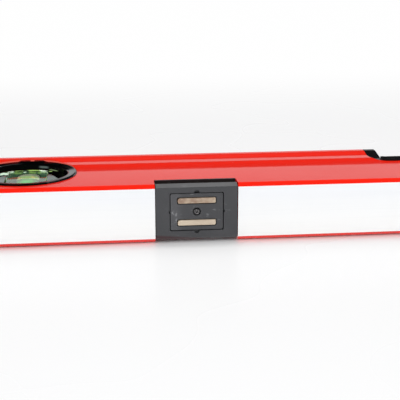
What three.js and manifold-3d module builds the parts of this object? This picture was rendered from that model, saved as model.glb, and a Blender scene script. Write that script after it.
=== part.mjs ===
// Magnetic box level, lying on its side with the measuring face towards -Y.
// Millimetres, +Z up, origin under the middle of the body. X runs along the level.
import * as THREE from 'three';
import { mergeVertices } from 'three/addons/utils/BufferGeometryUtils.js';
import Module from 'manifold-3d';

const wasm = await Module();
wasm.setup();

// Overall body
const levelLength = 500;
const levelHeight = 50;
const webThickness = 24;
const measuringY = -levelHeight / 2;
const wallThickness = 2.4;
const measuringWall = 3.4;
const topWall = 2.6;
const measuringChamfer = 1.5;
const topEdgeRadius = 0.9;
const cavityRadius = 1.2;
const profileRadius = 0.8;
const footRadius = 3.2;

// Steps of the flange along the top edge, as distances from the measuring face
const flangeStripWidth = 4.1;
const secondStepWidth = 4.1;
const shelfWidth = 6.1;
const firstStepWidth = 5.7;
const secondStepEnd = levelHeight - flangeStripWidth;
const secondStepStart = secondStepEnd - secondStepWidth;
const firstStepEnd = secondStepStart - shelfWidth;
const footStart = firstStepEnd - firstStepWidth;
const upperFirstRise = 0.95;
const upperSecondRise = 1;
const lowerFirstRise = 0.35;
const lowerSecondRise = 0.35;

// Clearances and the overrun of cutting bodies
const fitGap = 0.3;
const surfaceGap = 0.15;
const slideGap = 0.35;
const cutOverrun = 4;

// Faces derived from the thickness and the rises
const webLow = lowerFirstRise + lowerSecondRise;
const webTop = webLow + webThickness;
const flangeTop = webTop + upperFirstRise + upperSecondRise;
const midZ = (webLow + webTop) / 2;

// End caps
const capPlate = 5;
const capPlugLength = 12;
const capWall = 2;
const capInset = 0.25;
const capEdgeRadius = 1.6;

// Magnet units let into the measuring edge
const magnetPlaceShare = 0.464;
const magnetUnitX = (levelLength / 2) * magnetPlaceShare;
const housingWidth = 33.2;
const housingDepth = 8;
const housingLowerEdge = 1.2;
const housingUpperEdge = 1.4;
const housingFaceLow = webLow + housingLowerEdge;
const housingFaceTop = webTop - housingUpperEdge;
const housingRidgeDepth = 3;
const housingRidgeInset = 0.15;
const housingLowerChamfer = 0.9;
const housingShelfDrop = 1.1;
const housingShelfStart = 3.4;
const housingRearRim = 0.9;
const housingRearDrop = 0.3;
const housingRearStart = housingDepth - housingRearRim;
const notchRadius = 1;
const insertWidthShare = 0.645;
const insertWidth = housingWidth * insertWidthShare;
const insertHeightShare = 0.6375;
const insertHeight = webThickness * insertHeightShare;
const insertLift = 0.5;
const insertCentreZ = midZ + insertLift;
const insertThickness = 3;
const insertRadius = 0.7;
const insertRecess = 0.2;
const pocketFloor = 0.8;
const pocketDepth = housingDepth - pocketFloor;
const poleLengthShare = 0.724;
const poleLength = insertWidth * poleLengthShare;
const poleHeightShare = 0.15;
const poleHeight = insertHeight * poleHeightShare;
const poleSpacingShare = 0.603;
const poleSpacing = insertHeight * poleSpacingShare;
const poleCorner = 0.7;
const poleRecess = 0.1;
const magnetShortfall = 0.9;
const magnetLength = poleLength - magnetShortfall;
const keyRadius = 1.1;
const keyDepth = 1.4;
const sideKeyRadius = 0.5;
const screwHeadRadius = 1.35;
const screwHeadHeight = 1.1;
const screwShankRadius = 0.8;
const screwDomeHeight = 0.25;
const screwSocketRadius = 0.6;
const screwSocketDepth = 0.7;
const screwSocketSides = 6;

// Top vial, read through the top edge
const topCutHalfWidth = 34;
const topCutDepth = 18.6;
const topCutBottom = levelHeight - topCutDepth;
const topCutRadius = 8;
const frameRimHeight = 4.4;
const framePostWidth = 5;
const framePostInner = topCutHalfWidth - fitGap - framePostWidth;
const framePostRadius = 4;
const framePostHold = 0.7;
const frameRimProud = 0.5;
const frameRimFall = 0.6;
const topBlockHalfLength = framePostInner + framePostHold;
const topBlockSeat = 0.6;
const topBlockLow = topCutBottom + frameRimHeight + topBlockSeat;
const topBlockSink = 1.5;
const topBlockTop = levelHeight - topBlockSink;
const topBlockThicknessShare = 0.583;
const topBlockThickness = webThickness * topBlockThicknessShare;
const topBlockRadius = 1;
const boreWall = 1.25;
const topBoreRadius = (topBlockTop - topBlockLow) / 2 - boreWall;
const topPlugLength = 5.5;
const topLiquidHalf = topBlockHalfLength - topPlugLength - fitGap;
const topBubbleRadius = 1.9;
const topBubbleHalf = 5.2;
const topChannelHalf = 14;

// Plumb vials in round bezels
const plumbInset = 64;
const plumbX = levelLength / 2 - plumbInset;
const plumbOffset = 0.8;
const plumbFromFace = levelHeight / 2 + plumbOffset;
const bezelRadiusShare = 0.421;
const bezelRadius = levelHeight * bezelRadiusShare;
const bezelProud = webLow;
const bezelFlange = 1.4;
const bezelFaceWidth = 3.15;
const bezelFaceInner = bezelRadius - bezelFaceWidth;
const bezelInner = bezelFaceInner - fitGap * 2;
const bezelDish = 0.15;
const bezelLip = 0.5;
const bezelSleeve = 1.4;
const bezelOverhang = 2.05;
const barrelRadius = bezelRadius - bezelOverhang;
const barrelHoleRadius = barrelRadius + fitGap;
const plumbBlockEndGap = 2.3;
const plumbBlockHalfLength = bezelInner - plumbBlockEndGap;
const plumbBlockWidthShare = 0.485;
const plumbBlockHalfWidth = bezelInner * plumbBlockWidthShare;
const plumbBlockRadius = 1.6;
const plumbBlockInset = 0.2;
const plumbBoreShare = 0.607;
const plumbBoreRadius = plumbBlockHalfWidth * plumbBoreShare;
const plumbPlugLength = 3.5;
const plumbLiquidHalf = plumbBlockHalfLength - plumbPlugLength - fitGap;
const plumbBubbleRadius = 2;
const plumbBubbleHalf = 4.6;
const plumbChannelEnd = 1.2;
const plumbChannelHalf = plumbLiquidHalf - plumbChannelEnd;
const fanUpperShares = [0.59, 0.35];
const fanLowerShares = [0.89, -0.4];
const restShares = [0.59, 0.76];
const holderRecess = 0.1;

// Facets
const roundFacets = 48;
const smallFacets = 20;
const cornerFacets = 4;
const capsuleRings = 4;

// Signed volume of a closed geometry, positive when its faces point out.
function signedVolume(geometry) {
  const position = geometry.attributes.position;
  const index = geometry.index;
  const a = new THREE.Vector3();
  const b = new THREE.Vector3();
  const c = new THREE.Vector3();
  let volume = 0;
  for (let i = 0; i < index.count; i += 3) {
    a.fromBufferAttribute(position, index.getX(i));
    b.fromBufferAttribute(position, index.getX(i + 1));
    c.fromBufferAttribute(position, index.getX(i + 2));
    volume += a.dot(b.cross(c));
  }
  return volume;
}

// Turns a closed geometry into a solid for joining and cutting.
function solidOf(geometry) {
  const bare = geometry.clone();
  bare.deleteAttribute('normal');
  bare.deleteAttribute('uv');
  const merged = mergeVertices(bare);
  const triangles = Uint32Array.from(merged.index.array);
  if (signedVolume(merged) < 0) {
    for (let i = 0; i < triangles.length; i += 3) {
      const first = triangles[i];
      triangles[i] = triangles[i + 1];
      triangles[i + 1] = first;
    }
  }
  const vertices = Float32Array.from(merged.attributes.position.array);
  return new wasm.Manifold(new wasm.Mesh({ numProp: 3, vertProperties: vertices, triVerts: triangles }));
}

// Turns a solid back into a geometry.
function geometryOf(solid) {
  const mesh = solid.getMesh();
  const geometry = new THREE.BufferGeometry();
  geometry.setAttribute('position', new THREE.BufferAttribute(mesh.vertProperties, 3));
  geometry.setIndex(new THREE.BufferAttribute(mesh.triVerts, 1));
  geometry.computeVertexNormals();
  return geometry;
}

// A closed outline from corners [u, v, radius]; each corner is rounded by its radius.
function outline(corners) {
  const shape = new THREE.Shape();
  const count = corners.length;
  corners.forEach(([u, v, radius = 0], i) => {
    const [pu, pv] = corners[(i + count - 1) % count];
    const [nu, nv] = corners[(i + 1) % count];
    const back = Math.hypot(pu - u, pv - v);
    const ahead = Math.hypot(nu - u, nv - v);
    const inU = u + ((pu - u) * radius) / back;
    const inV = v + ((pv - v) * radius) / back;
    const outU = u + ((nu - u) * radius) / ahead;
    const outV = v + ((nv - v) * radius) / ahead;
    if (i === 0) {
      shape.moveTo(inU, inV);
    } else {
      shape.lineTo(inU, inV);
    }
    if (radius > 0) {
      shape.quadraticCurveTo(u, v, outU, outV);
    }
  });
  shape.closePath();
  return shape;
}

// Rectangle outline between two corners with rounded corners.
function rectangle(uLow, uHigh, vLow, vHigh, radius) {
  return outline([
    [uLow, vLow, radius],
    [uHigh, vLow, radius],
    [uHigh, vHigh, radius],
    [uLow, vHigh, radius],
  ]);
}

// Prism of an outline; axis x takes the outline as (y, z), y as (z, x) and z as (x, y).
function prism(shape, axis, low, high) {
  const settings = { depth: high - low, bevelEnabled: false, curveSegments: cornerFacets };
  const geometry = new THREE.ExtrudeGeometry(shape, settings);
  geometry.translate(0, 0, low);
  const unitX = new THREE.Vector3(1, 0, 0);
  const unitY = new THREE.Vector3(0, 1, 0);
  const unitZ = new THREE.Vector3(0, 0, 1);
  const bases = { x: [unitY, unitZ, unitX], y: [unitZ, unitX, unitY], z: [unitX, unitY, unitZ] };
  geometry.applyMatrix4(new THREE.Matrix4().makeBasis(...bases[axis]));
  return solidOf(geometry);
}

// Round rod along an axis, centred on the axis at the given place.
function rod(axis, radius, low, high, place, facets) {
  const geometry = new THREE.CylinderGeometry(radius, radius, high - low, facets);
  const middle = (high + low) / 2;
  geometry.translate(0, middle, 0);
  if (axis === 'x') {
    geometry.rotateZ(-Math.PI / 2);
  }
  if (axis === 'z') {
    geometry.rotateX(Math.PI / 2);
  }
  geometry.translate(place[0], place[1], place[2]);
  return solidOf(geometry);
}

// Body of revolution about a vertical axis from (radius, z) points.
function turned(points, place, facets) {
  const profile = points.map(([radius, z]) => new THREE.Vector2(radius, z));
  profile.push(profile[0].clone());
  const geometry = new THREE.LatheGeometry(profile, facets);
  geometry.rotateX(Math.PI / 2);
  geometry.translate(place[0], place[1], place[2]);
  return solidOf(geometry);
}

// Capsule along X or Y with its middle at the given place.
function capsule(axis, radius, halfLength, place) {
  const straight = (halfLength - radius) * 2;
  const geometry = new THREE.CapsuleGeometry(radius, straight, capsuleRings, smallFacets, 1);
  if (axis === 'x') {
    geometry.rotateZ(-Math.PI / 2);
  }
  geometry.translate(place[0], place[1], place[2]);
  return solidOf(geometry);
}

// Distance from the measuring face turned into a Y coordinate.
function fromFace(distance) {
  return measuringY + distance;
}

// Materials

function material(colour, roughness, metalness, opacity = 1) {
  return new THREE.MeshStandardMaterial({
    color: new THREE.Color().setRGB(colour[0], colour[1], colour[2], THREE.SRGBColorSpace),
    roughness,
    metalness,
    opacity,
    transparent: opacity < 1,
  });
}

function redCoat() {
  const colour = [0.9, 0.14, 0.09];
  const roughness = 0.32;
  const metalness = 0.35;
  return material(colour, roughness, metalness);
}

function capPlastic() {
  const colour = [0.09, 0.09, 0.1];
  const roughness = 0.55;
  const metalness = 0;
  return material(colour, roughness, metalness);
}

function housingPlastic() {
  const colour = [0.27, 0.275, 0.285];
  const roughness = 0.5;
  const metalness = 0;
  return material(colour, roughness, metalness);
}

function glossBlack() {
  const colour = [0.03, 0.03, 0.035];
  const roughness = 0.18;
  const metalness = 0;
  return material(colour, roughness, metalness);
}

function poleSteel() {
  const colour = [0.74, 0.68, 0.58];
  const roughness = 0.35;
  const metalness = 0.9;
  return material(colour, roughness, metalness);
}

function magnetFerrite() {
  const colour = [0.2, 0.2, 0.21];
  const roughness = 0.6;
  const metalness = 0.3;
  return material(colour, roughness, metalness);
}

function screwSteel() {
  const colour = [0.45, 0.45, 0.46];
  const roughness = 0.3;
  const metalness = 1;
  return material(colour, roughness, metalness);
}

function clearAcrylic() {
  const colour = [0.88, 0.95, 0.85];
  const roughness = 0.05;
  const metalness = 0;
  const opacity = 0.35;
  return material(colour, roughness, metalness, opacity);
}

function greenLiquid() {
  const colour = [0.55, 0.85, 0.3];
  const roughness = 0.05;
  const metalness = 0;
  const opacity = 0.7;
  return material(colour, roughness, metalness, opacity);
}

function paleAir() {
  const colour = [0.9, 0.97, 0.85];
  const roughness = 0.05;
  const metalness = 0;
  const opacity = 0.5;
  return material(colour, roughness, metalness, opacity);
}

function sealPlastic() {
  const colour = [0.8, 0.82, 0.72];
  const roughness = 0.4;
  const metalness = 0;
  return material(colour, roughness, metalness);
}

// Outline of the extrusion in (y, z), shrunk by an inset on every side.
function profileOutline(inset, edgeRadius) {
  const face = fromFace(inset);
  const edge = fromFace(levelHeight - inset);
  const low = webLow + inset;
  const top = webTop - inset;
  const chamfer = measuringChamfer;
  return outline([
    [face, low + chamfer, 0],
    [face + chamfer, low, 0],
    [fromFace(footStart), low, footRadius],
    [fromFace(firstStepEnd), low - lowerFirstRise, profileRadius],
    [fromFace(secondStepStart), low - lowerFirstRise, profileRadius],
    [fromFace(secondStepEnd), inset, profileRadius],
    [edge, inset, edgeRadius],
    [edge, flangeTop - inset, edgeRadius],
    [fromFace(secondStepEnd), flangeTop - inset, profileRadius],
    [fromFace(secondStepStart), top + upperFirstRise, profileRadius],
    [fromFace(firstStepEnd), top + upperFirstRise, profileRadius],
    [fromFace(footStart), top, footRadius],
    [face + chamfer, top, 0],
    [face, top - chamfer, 0],
  ]);
}

// Cavity of the extrusion, shrunk by an inset.
function cavityOutline(inset) {
  return rectangle(
    fromFace(measuringWall + inset),
    fromFace(levelHeight - topWall - inset),
    webLow + wallThickness + inset,
    webTop - wallThickness - inset,
    cavityRadius,
  );
}

// Cut-out for the top vial in (x, y), shrunk by an inset.
function topCutOutline(inset) {
  const half = topCutHalfWidth - inset;
  const bottom = fromFace(topCutBottom + inset);
  const above = fromFace(levelHeight) + cutOverrun;
  return outline([
    [-half, above, 0],
    [-half, bottom, topCutRadius],
    [half, bottom, topCutRadius],
    [half, above, 0],
  ]);
}

// Hollow extrusion with the seats of the vials and magnets cut through it.
function boxProfile() {
  const end = levelLength / 2 - capPlate - fitGap;
  const under = -cutOverrun;
  const over = flangeTop + cutOverrun;
  let body = prism(profileOutline(0, topEdgeRadius), 'x', -end, end);
  body = body.subtract(prism(cavityOutline(0), 'x', -end - cutOverrun, end + cutOverrun));
  for (const side of [-1, 1]) {
    const place = [side * plumbX, fromFace(plumbFromFace), 0];
    const seatRadius = bezelRadius + fitGap;
    const seatDepth = bezelFlange - bezelProud + fitGap;
    body = body.subtract(rod('z', barrelHoleRadius, under, over, place, roundFacets));
    body = body.subtract(rod('z', seatRadius, webTop - seatDepth, over, place, roundFacets));
    body = body.subtract(rod('z', seatRadius, under, webLow + seatDepth, place, roundFacets));
    const half = housingWidth / 2 + fitGap;
    const middle = side * magnetUnitX;
    const back = fromFace(housingDepth + fitGap);
    const front = measuringY - cutOverrun;
    const notch = rectangle(middle - half, middle + half, front, back, notchRadius);
    body = body.subtract(prism(notch, 'z', under, over));
  }
  return body.subtract(prism(topCutOutline(0), 'z', under, over));
}

// Moulded cap over one end, with a hollow plug that enters the cavity.
function endCap(side) {
  const outer = side * (levelLength / 2);
  const inner = side * (levelLength / 2 - capPlate);
  const plugEnd = side * (levelLength / 2 - capPlate - capPlugLength);
  const plate = prism(profileOutline(capInset, capEdgeRadius), 'x', Math.min(outer, inner), Math.max(outer, inner));
  const plugStart = (outer + inner) / 2;
  const plug = prism(cavityOutline(fitGap), 'x', Math.min(plugStart, plugEnd), Math.max(plugStart, plugEnd));
  const mouth = plugEnd - side * cutOverrun;
  const hollow = prism(cavityOutline(fitGap + capWall), 'x', Math.min(inner, mouth), Math.max(inner, mouth));
  return plate.add(plug).subtract(hollow);
}

// Half-round keys round the insert: two at the middle of the long sides, two small at the ends.
function insertKeys(middle, back) {
  const front = measuringY - cutOverrun;
  const up = insertCentreZ + insertHeight / 2 + fitGap;
  const down = insertCentreZ - insertHeight / 2 - fitGap;
  const along = insertWidth / 2 + fitGap;
  const keys = [
    rod('y', keyRadius, front, back, [middle, 0, up], smallFacets),
    rod('y', keyRadius, front, back, [middle, 0, down], smallFacets),
    rod('y', sideKeyRadius, front, back, [middle - along, 0, insertCentreZ], smallFacets),
    rod('y', sideKeyRadius, front, back, [middle + along, 0, insertCentreZ], smallFacets),
  ];
  return keys;
}

// Rectangle prism through the measuring edge, centred on a magnet unit.
function insertPrism(middle, width, height, centreZ, radius, near, far) {
  const shape = rectangle(
    centreZ - height / 2,
    centreZ + height / 2,
    middle - width / 2,
    middle + width / 2,
    radius,
  );
  return prism(shape, 'y', near, far);
}

// Plastic block that fills the notch, with its own chamfer, a sunk shelf behind it and a rear rim.
function magnetHousing(side) {
  const middle = side * magnetUnitX;
  const half = housingWidth / 2;
  const ridge = webTop - housingRidgeInset;
  const lowRidge = webLow + housingRidgeInset;
  const shape = outline([
    [fromFace(0), housingFaceLow, 0],
    [fromFace(housingLowerChamfer), lowRidge, 0],
    [fromFace(housingRidgeDepth), lowRidge, 0],
    [fromFace(housingShelfStart), lowRidge + housingShelfDrop, 0],
    [fromFace(housingRearStart), lowRidge + housingShelfDrop, 0],
    [fromFace(housingRearStart), webLow + housingRearDrop, 0],
    [fromFace(housingDepth), webLow + housingRearDrop, 0],
    [fromFace(housingDepth), webTop - housingRearDrop, 0],
    [fromFace(housingRearStart), webTop - housingRearDrop, 0],
    [fromFace(housingRearStart), ridge - housingShelfDrop, 0],
    [fromFace(housingShelfStart), ridge - housingShelfDrop, 0],
    [fromFace(housingRidgeDepth), ridge, 0],
    [fromFace(0), housingFaceTop, 0],
  ]);
  let body = prism(shape, 'x', middle - half, middle + half);
  const near = measuringY - cutOverrun;
  const far = fromFace(pocketDepth + fitGap);
  const width = insertWidth + fitGap * 2;
  const height = insertHeight + fitGap * 2;
  body = body.subtract(insertPrism(middle, width, height, insertCentreZ, insertRadius, near, far));
  for (const key of insertKeys(middle, fromFace(keyDepth))) {
    body = body.subtract(key);
  }
  return body;
}

// Face plate of the magnet unit, slotted for the two pole bars.
function insertPlate(side) {
  const middle = side * magnetUnitX;
  const near = fromFace(insertRecess);
  const far = fromFace(insertRecess + insertThickness);
  let body = insertPrism(middle, insertWidth, insertHeight, insertCentreZ, insertRadius, near, far);
  const slotLength = poleLength + fitGap * 2;
  const slotHeight = poleHeight + fitGap * 2;
  for (const row of [-1, 1]) {
    const z = insertCentreZ + (row * poleSpacing) / 2;
    const before = near - cutOverrun;
    const after = far + cutOverrun;
    body = body.subtract(insertPrism(middle, slotLength, slotHeight, z, poleCorner, before, after));
  }
  const place = [middle, 0, insertCentreZ];
  const headRadius = screwHeadRadius + fitGap;
  const seat = fromFace(insertRecess + screwHeadHeight + fitGap);
  const holeRadius = screwShankRadius + fitGap;
  body = body.subtract(rod('y', headRadius, near - cutOverrun, seat, place, smallFacets));
  return body.subtract(rod('y', holeRadius, near, far + cutOverrun, place, smallFacets));
}

// Steel bar that carries the magnet's pull to the measuring face.
function poleBar(side, row) {
  const middle = side * magnetUnitX;
  const z = insertCentreZ + (row * poleSpacing) / 2;
  const near = fromFace(poleRecess);
  const far = fromFace(pocketDepth);
  return insertPrism(middle, poleLength, poleHeight, z, poleCorner, near, far);
}

// Magnet between the two bars, behind the face plate.
function magnetBlock(side) {
  const middle = side * magnetUnitX;
  const height = poleSpacing - poleHeight - fitGap * 2;
  const near = fromFace(insertRecess + insertThickness + fitGap);
  const far = fromFace(pocketDepth);
  const place = [middle, 0, insertCentreZ];
  const body = insertPrism(middle, magnetLength, height, insertCentreZ, poleCorner, near, far);
  const hole = screwShankRadius + fitGap;
  return body.subtract(rod('y', hole, near - cutOverrun, far + cutOverrun, place, smallFacets));
}

// Screw through the middle of the magnet unit, with a hexagon socket.
function insertScrew(side) {
  const place = [side * magnetUnitX, 0, insertCentreZ];
  const near = fromFace(insertRecess + screwDomeHeight);
  const under = fromFace(insertRecess + screwHeadHeight);
  const tip = fromFace(pocketDepth);
  const domeRadius = screwHeadRadius - screwDomeHeight;
  let body = rod('y', screwHeadRadius, near, under, place, smallFacets);
  body = body.add(rod('y', domeRadius, fromFace(insertRecess), under, place, smallFacets));
  body = body.add(rod('y', screwShankRadius, near, tip, place, smallFacets));
  const socketFloor = fromFace(insertRecess + screwSocketDepth);
  const before = measuringY - cutOverrun;
  return body.subtract(rod('y', screwSocketRadius, before, socketFloor, place, screwSocketSides));
}

// Section of the top vial's frame in (y, z): it follows the flange, with a rim proud of the first step.
function frameSection() {
  const edge = fromFace(levelHeight - surfaceGap);
  const rimEnd = fromFace(topCutBottom + frameRimHeight);
  const lowFlat = webLow - lowerFirstRise + surfaceGap;
  const upperFlat = webTop + upperFirstRise - surfaceGap;
  const proudFlat = webTop + upperFirstRise + frameRimProud;
  const over = flangeTop - surfaceGap;
  return outline([
    [fromFace(footStart), webLow + surfaceGap, 0],
    [fromFace(firstStepEnd), lowFlat, 0],
    [fromFace(secondStepStart), lowFlat, 0],
    [fromFace(secondStepEnd), surfaceGap, 0],
    [edge, surfaceGap, 0],
    [edge, over, 0],
    [fromFace(secondStepEnd), over, 0],
    [fromFace(secondStepStart), upperFlat, 0],
    [rimEnd + frameRimFall, upperFlat, 0],
    [rimEnd, proudFlat, 0],
    [fromFace(firstStepEnd), proudFlat, 0],
    [fromFace(footStart), webTop + frameRimProud, 0],
  ]);
}

// Frame of the top vial: a trough along its foot with a post at each end.
function topVialFrame() {
  const above = fromFace(levelHeight) + cutOverrun;
  const across = topCutHalfWidth + cutOverrun;
  const under = -cutOverrun;
  const over = flangeTop + cutOverrun;
  let body = prism(topCutOutline(fitGap), 'z', under, over);
  body = body.intersect(prism(frameSection(), 'x', -across, across));
  const post = framePostInner;
  const floor = fromFace(topCutBottom + frameRimHeight);
  const opening = rectangle(-post, post, floor, above, framePostRadius);
  body = body.subtract(prism(opening, 'z', under, over));
  const halfLength = topBlockHalfLength + fitGap;
  const halfThick = topBlockThickness / 2 + fitGap;
  const pocket = rectangle(-halfLength, halfLength, fromFace(topBlockLow - fitGap), above, 0);
  return body.subtract(prism(pocket, 'z', midZ - halfThick, midZ + halfThick));
}

// Centre line height of the top vial's bore, as a place.
function topBorePlace() {
  return [0, fromFace((topBlockLow + topBlockTop) / 2), midZ];
}

// Clear block of the top vial, bored along the level.
function topVialBlock() {
  const shape = rectangle(
    fromFace(topBlockLow),
    fromFace(topBlockTop),
    midZ - topBlockThickness / 2,
    midZ + topBlockThickness / 2,
    topBlockRadius,
  );
  const body = prism(shape, 'x', -topBlockHalfLength, topBlockHalfLength);
  const reach = topBlockHalfLength + cutOverrun;
  return body.subtract(rod('x', topBoreRadius, -reach, reach, topBorePlace(), smallFacets));
}

// Bubble centre above the bore's axis, so that it floats against the upper wall.
function bubbleLift(boreRadius, bubbleRadius) {
  return boreRadius - fitGap - bubbleRadius - surfaceGap;
}

// Filling of a bore with a channel along its upper side for the bubble.
function liquidFilling(axis, boreRadius, half, bubbleRadius, channelHalf, place) {
  const body = rod(axis, boreRadius - fitGap, -half, half, place, smallFacets);
  const lift = bubbleLift(boreRadius, bubbleRadius);
  const channelRadius = bubbleRadius + slideGap;
  const centre = [place[0], place[1], place[2] + lift];
  const channel = capsule(axis, channelRadius, channelHalf, centre);
  const top = place[2] + boreRadius;
  const straight = channelHalf - channelRadius;
  const low = axis === 'x' ? place[0] : place[1];
  const across = axis === 'x' ? place[1] : place[0];
  const slot = axis === 'x'
    ? rectangle(low - straight, low + straight, across - channelRadius, across + channelRadius, 0)
    : rectangle(across - channelRadius, across + channelRadius, low - straight, low + straight, 0);
  return body.subtract(channel).subtract(prism(slot, 'z', centre[2], top));
}

function topVialLiquid() {
  const place = topBorePlace();
  return liquidFilling('x', topBoreRadius, topLiquidHalf, topBubbleRadius, topChannelHalf, place);
}

function topVialBubble() {
  const place = topBorePlace();
  const z = place[2] + bubbleLift(topBoreRadius, topBubbleRadius);
  return capsule('x', topBubbleRadius, topBubbleHalf, [place[0], place[1], z]);
}

function topVialPlug(side) {
  const near = side * (topLiquidHalf + fitGap);
  const far = side * topBlockHalfLength;
  const radius = topBoreRadius - fitGap;
  return rod('x', radius, Math.min(near, far), Math.max(near, far), topBorePlace(), smallFacets);
}

// Round bezel pressed over a plumb vial; facing +1 is the upper side and -1 the lower.
function plumbBezel(side, facing) {
  const face = webThickness / 2 + bezelProud;
  const points = [
    [bezelInner, face - bezelFlange - bezelSleeve],
    [barrelRadius, face - bezelFlange - bezelSleeve],
    [barrelRadius, face - bezelFlange],
    [bezelRadius, face - bezelFlange],
    [bezelRadius, face - bezelLip],
    [bezelRadius - bezelLip / 3, face - bezelLip / 3],
    [bezelRadius - bezelLip, face],
    [bezelFaceInner, face - bezelDish],
    [bezelInner, face - bezelDish - bezelLip],
  ];
  const place = [side * plumbX, fromFace(plumbFromFace), midZ];
  return turned(points.map(([radius, z]) => [radius, z * facing]), place, roundFacets);
}

// Half of the barrel's height, between the sleeves of the two bezels.
function holderHalf() {
  return webThickness / 2 + bezelProud - bezelFlange - bezelSleeve - fitGap;
}

// Black barrel with a fan-shaped shelf and a rest, which hold the clear block.
function plumbHolder(side) {
  const x = side * plumbX;
  const y = fromFace(plumbFromFace);
  const half = holderHalf();
  const low = midZ - half;
  const high = midZ + half;
  const place = [x, y, 0];
  const shell = rod('z', barrelRadius, low, high, place, roundFacets);
  const room = rod('z', bezelInner, low - cutOverrun, high + cutOverrun, place, roundFacets);
  const [upperX, upperY] = fanUpperShares.map((share) => share * bezelInner);
  const [lowerX, lowerY] = fanLowerShares.map((share) => share * bezelInner);
  const [restX, restY] = restShares.map((share) => share * bezelInner);
  const fan = outline([
    [x - upperX, y + upperY, 0],
    [x - lowerX, y + lowerY, 0],
    [x - barrelRadius, y - barrelRadius, 0],
    [x + barrelRadius, y - barrelRadius, 0],
    [x + lowerX, y + lowerY, 0],
    [x + upperX, y + upperY, 0],
  ]);
  const rest = rectangle(x - restX, x + restX, y + restY, y + barrelRadius, 0);
  const shelfLow = low + holderRecess;
  const shelfHigh = high - holderRecess;
  const inner = prism(fan, 'z', shelfLow, shelfHigh).add(prism(rest, 'z', shelfLow, shelfHigh));
  const kept = inner.intersect(rod('z', barrelRadius - fitGap, low, high, place, roundFacets));
  const halfWidth = plumbBlockHalfWidth + fitGap;
  const halfLength = plumbBlockHalfLength + fitGap;
  const slot = rectangle(x - halfWidth, x + halfWidth, y - halfLength, y + halfLength, plumbBlockRadius);
  const body = shell.subtract(room).add(kept);
  return body.subtract(prism(slot, 'z', low - cutOverrun, high + cutOverrun));
}

// Clear block of a plumb vial, bored across the level.
function plumbBlock(side) {
  const x = side * plumbX;
  const y = fromFace(plumbFromFace);
  const half = holderHalf() - plumbBlockInset;
  const shape = rectangle(
    x - plumbBlockHalfWidth,
    x + plumbBlockHalfWidth,
    y - plumbBlockHalfLength,
    y + plumbBlockHalfLength,
    plumbBlockRadius,
  );
  const reach = plumbBlockHalfLength + cutOverrun;
  const bore = rod('y', plumbBoreRadius, -reach, reach, [x, y, midZ], smallFacets);
  return prism(shape, 'z', midZ - half, midZ + half).subtract(bore);
}

function plumbPlace(side) {
  return [side * plumbX, fromFace(plumbFromFace), midZ];
}

function plumbLiquid(side) {
  const place = plumbPlace(side);
  return liquidFilling('y', plumbBoreRadius, plumbLiquidHalf, plumbBubbleRadius, plumbChannelHalf, place);
}

function plumbBubble(side) {
  const place = plumbPlace(side);
  const z = place[2] + bubbleLift(plumbBoreRadius, plumbBubbleRadius);
  return capsule('y', plumbBubbleRadius, plumbBubbleHalf, [place[0], place[1], z]);
}

function plumbPlug(side, end) {
  const near = end * (plumbLiquidHalf + fitGap);
  const far = end * plumbBlockHalfLength;
  const radius = plumbBoreRadius - fitGap;
  return rod('y', radius, Math.min(near, far), Math.max(near, far), plumbPlace(side), smallFacets);
}

// Adds one named mesh to the level.
function place(level, name, solid, finish) {
  const mesh = new THREE.Mesh(geometryOf(solid), finish);
  mesh.name = name;
  level.add(mesh);
}

// The whole level: body, magnet units, top vial and plumb vials.
function buildLevel() {
  const level = new THREE.Group();
  place(level, 'box_profile', boxProfile(), redCoat());
  place(level, 'top_vial_frame', topVialFrame(), glossBlack());
  place(level, 'top_vial_block', topVialBlock(), clearAcrylic());
  place(level, 'top_vial_liquid', topVialLiquid(), greenLiquid());
  place(level, 'top_vial_bubble', topVialBubble(), paleAir());
  for (const [side, word] of [[-1, 'left'], [1, 'right']]) {
    place(level, `end_cap_${word}`, endCap(side), capPlastic());
    place(level, `top_vial_plug_${word}`, topVialPlug(side), sealPlastic());
    place(level, `magnet_housing_${word}`, magnetHousing(side), housingPlastic());
    place(level, `insert_plate_${word}`, insertPlate(side), housingPlastic());
    place(level, `pole_bar_upper_${word}`, poleBar(side, 1), poleSteel());
    place(level, `pole_bar_lower_${word}`, poleBar(side, -1), poleSteel());
    place(level, `magnet_${word}`, magnetBlock(side), magnetFerrite());
    place(level, `insert_screw_${word}`, insertScrew(side), screwSteel());
    place(level, `plumb_bezel_upper_${word}`, plumbBezel(side, 1), glossBlack());
    place(level, `plumb_bezel_lower_${word}`, plumbBezel(side, -1), glossBlack());
    place(level, `plumb_holder_${word}`, plumbHolder(side), glossBlack());
    place(level, `plumb_block_${word}`, plumbBlock(side), clearAcrylic());
    place(level, `plumb_liquid_${word}`, plumbLiquid(side), greenLiquid());
    place(level, `plumb_bubble_${word}`, plumbBubble(side), paleAir());
    place(level, `plumb_plug_near_${word}`, plumbPlug(side, -1), sealPlastic());
    place(level, `plumb_plug_far_${word}`, plumbPlug(side, 1), sealPlastic());
  }
  return level;
}

export default buildLevel();
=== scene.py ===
"""Magnetic box level on a pale studio floor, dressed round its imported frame."""

import logging
import math
from collections.abc import Callable, Sequence
from dataclasses import dataclass, replace
from enum import Enum

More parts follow.
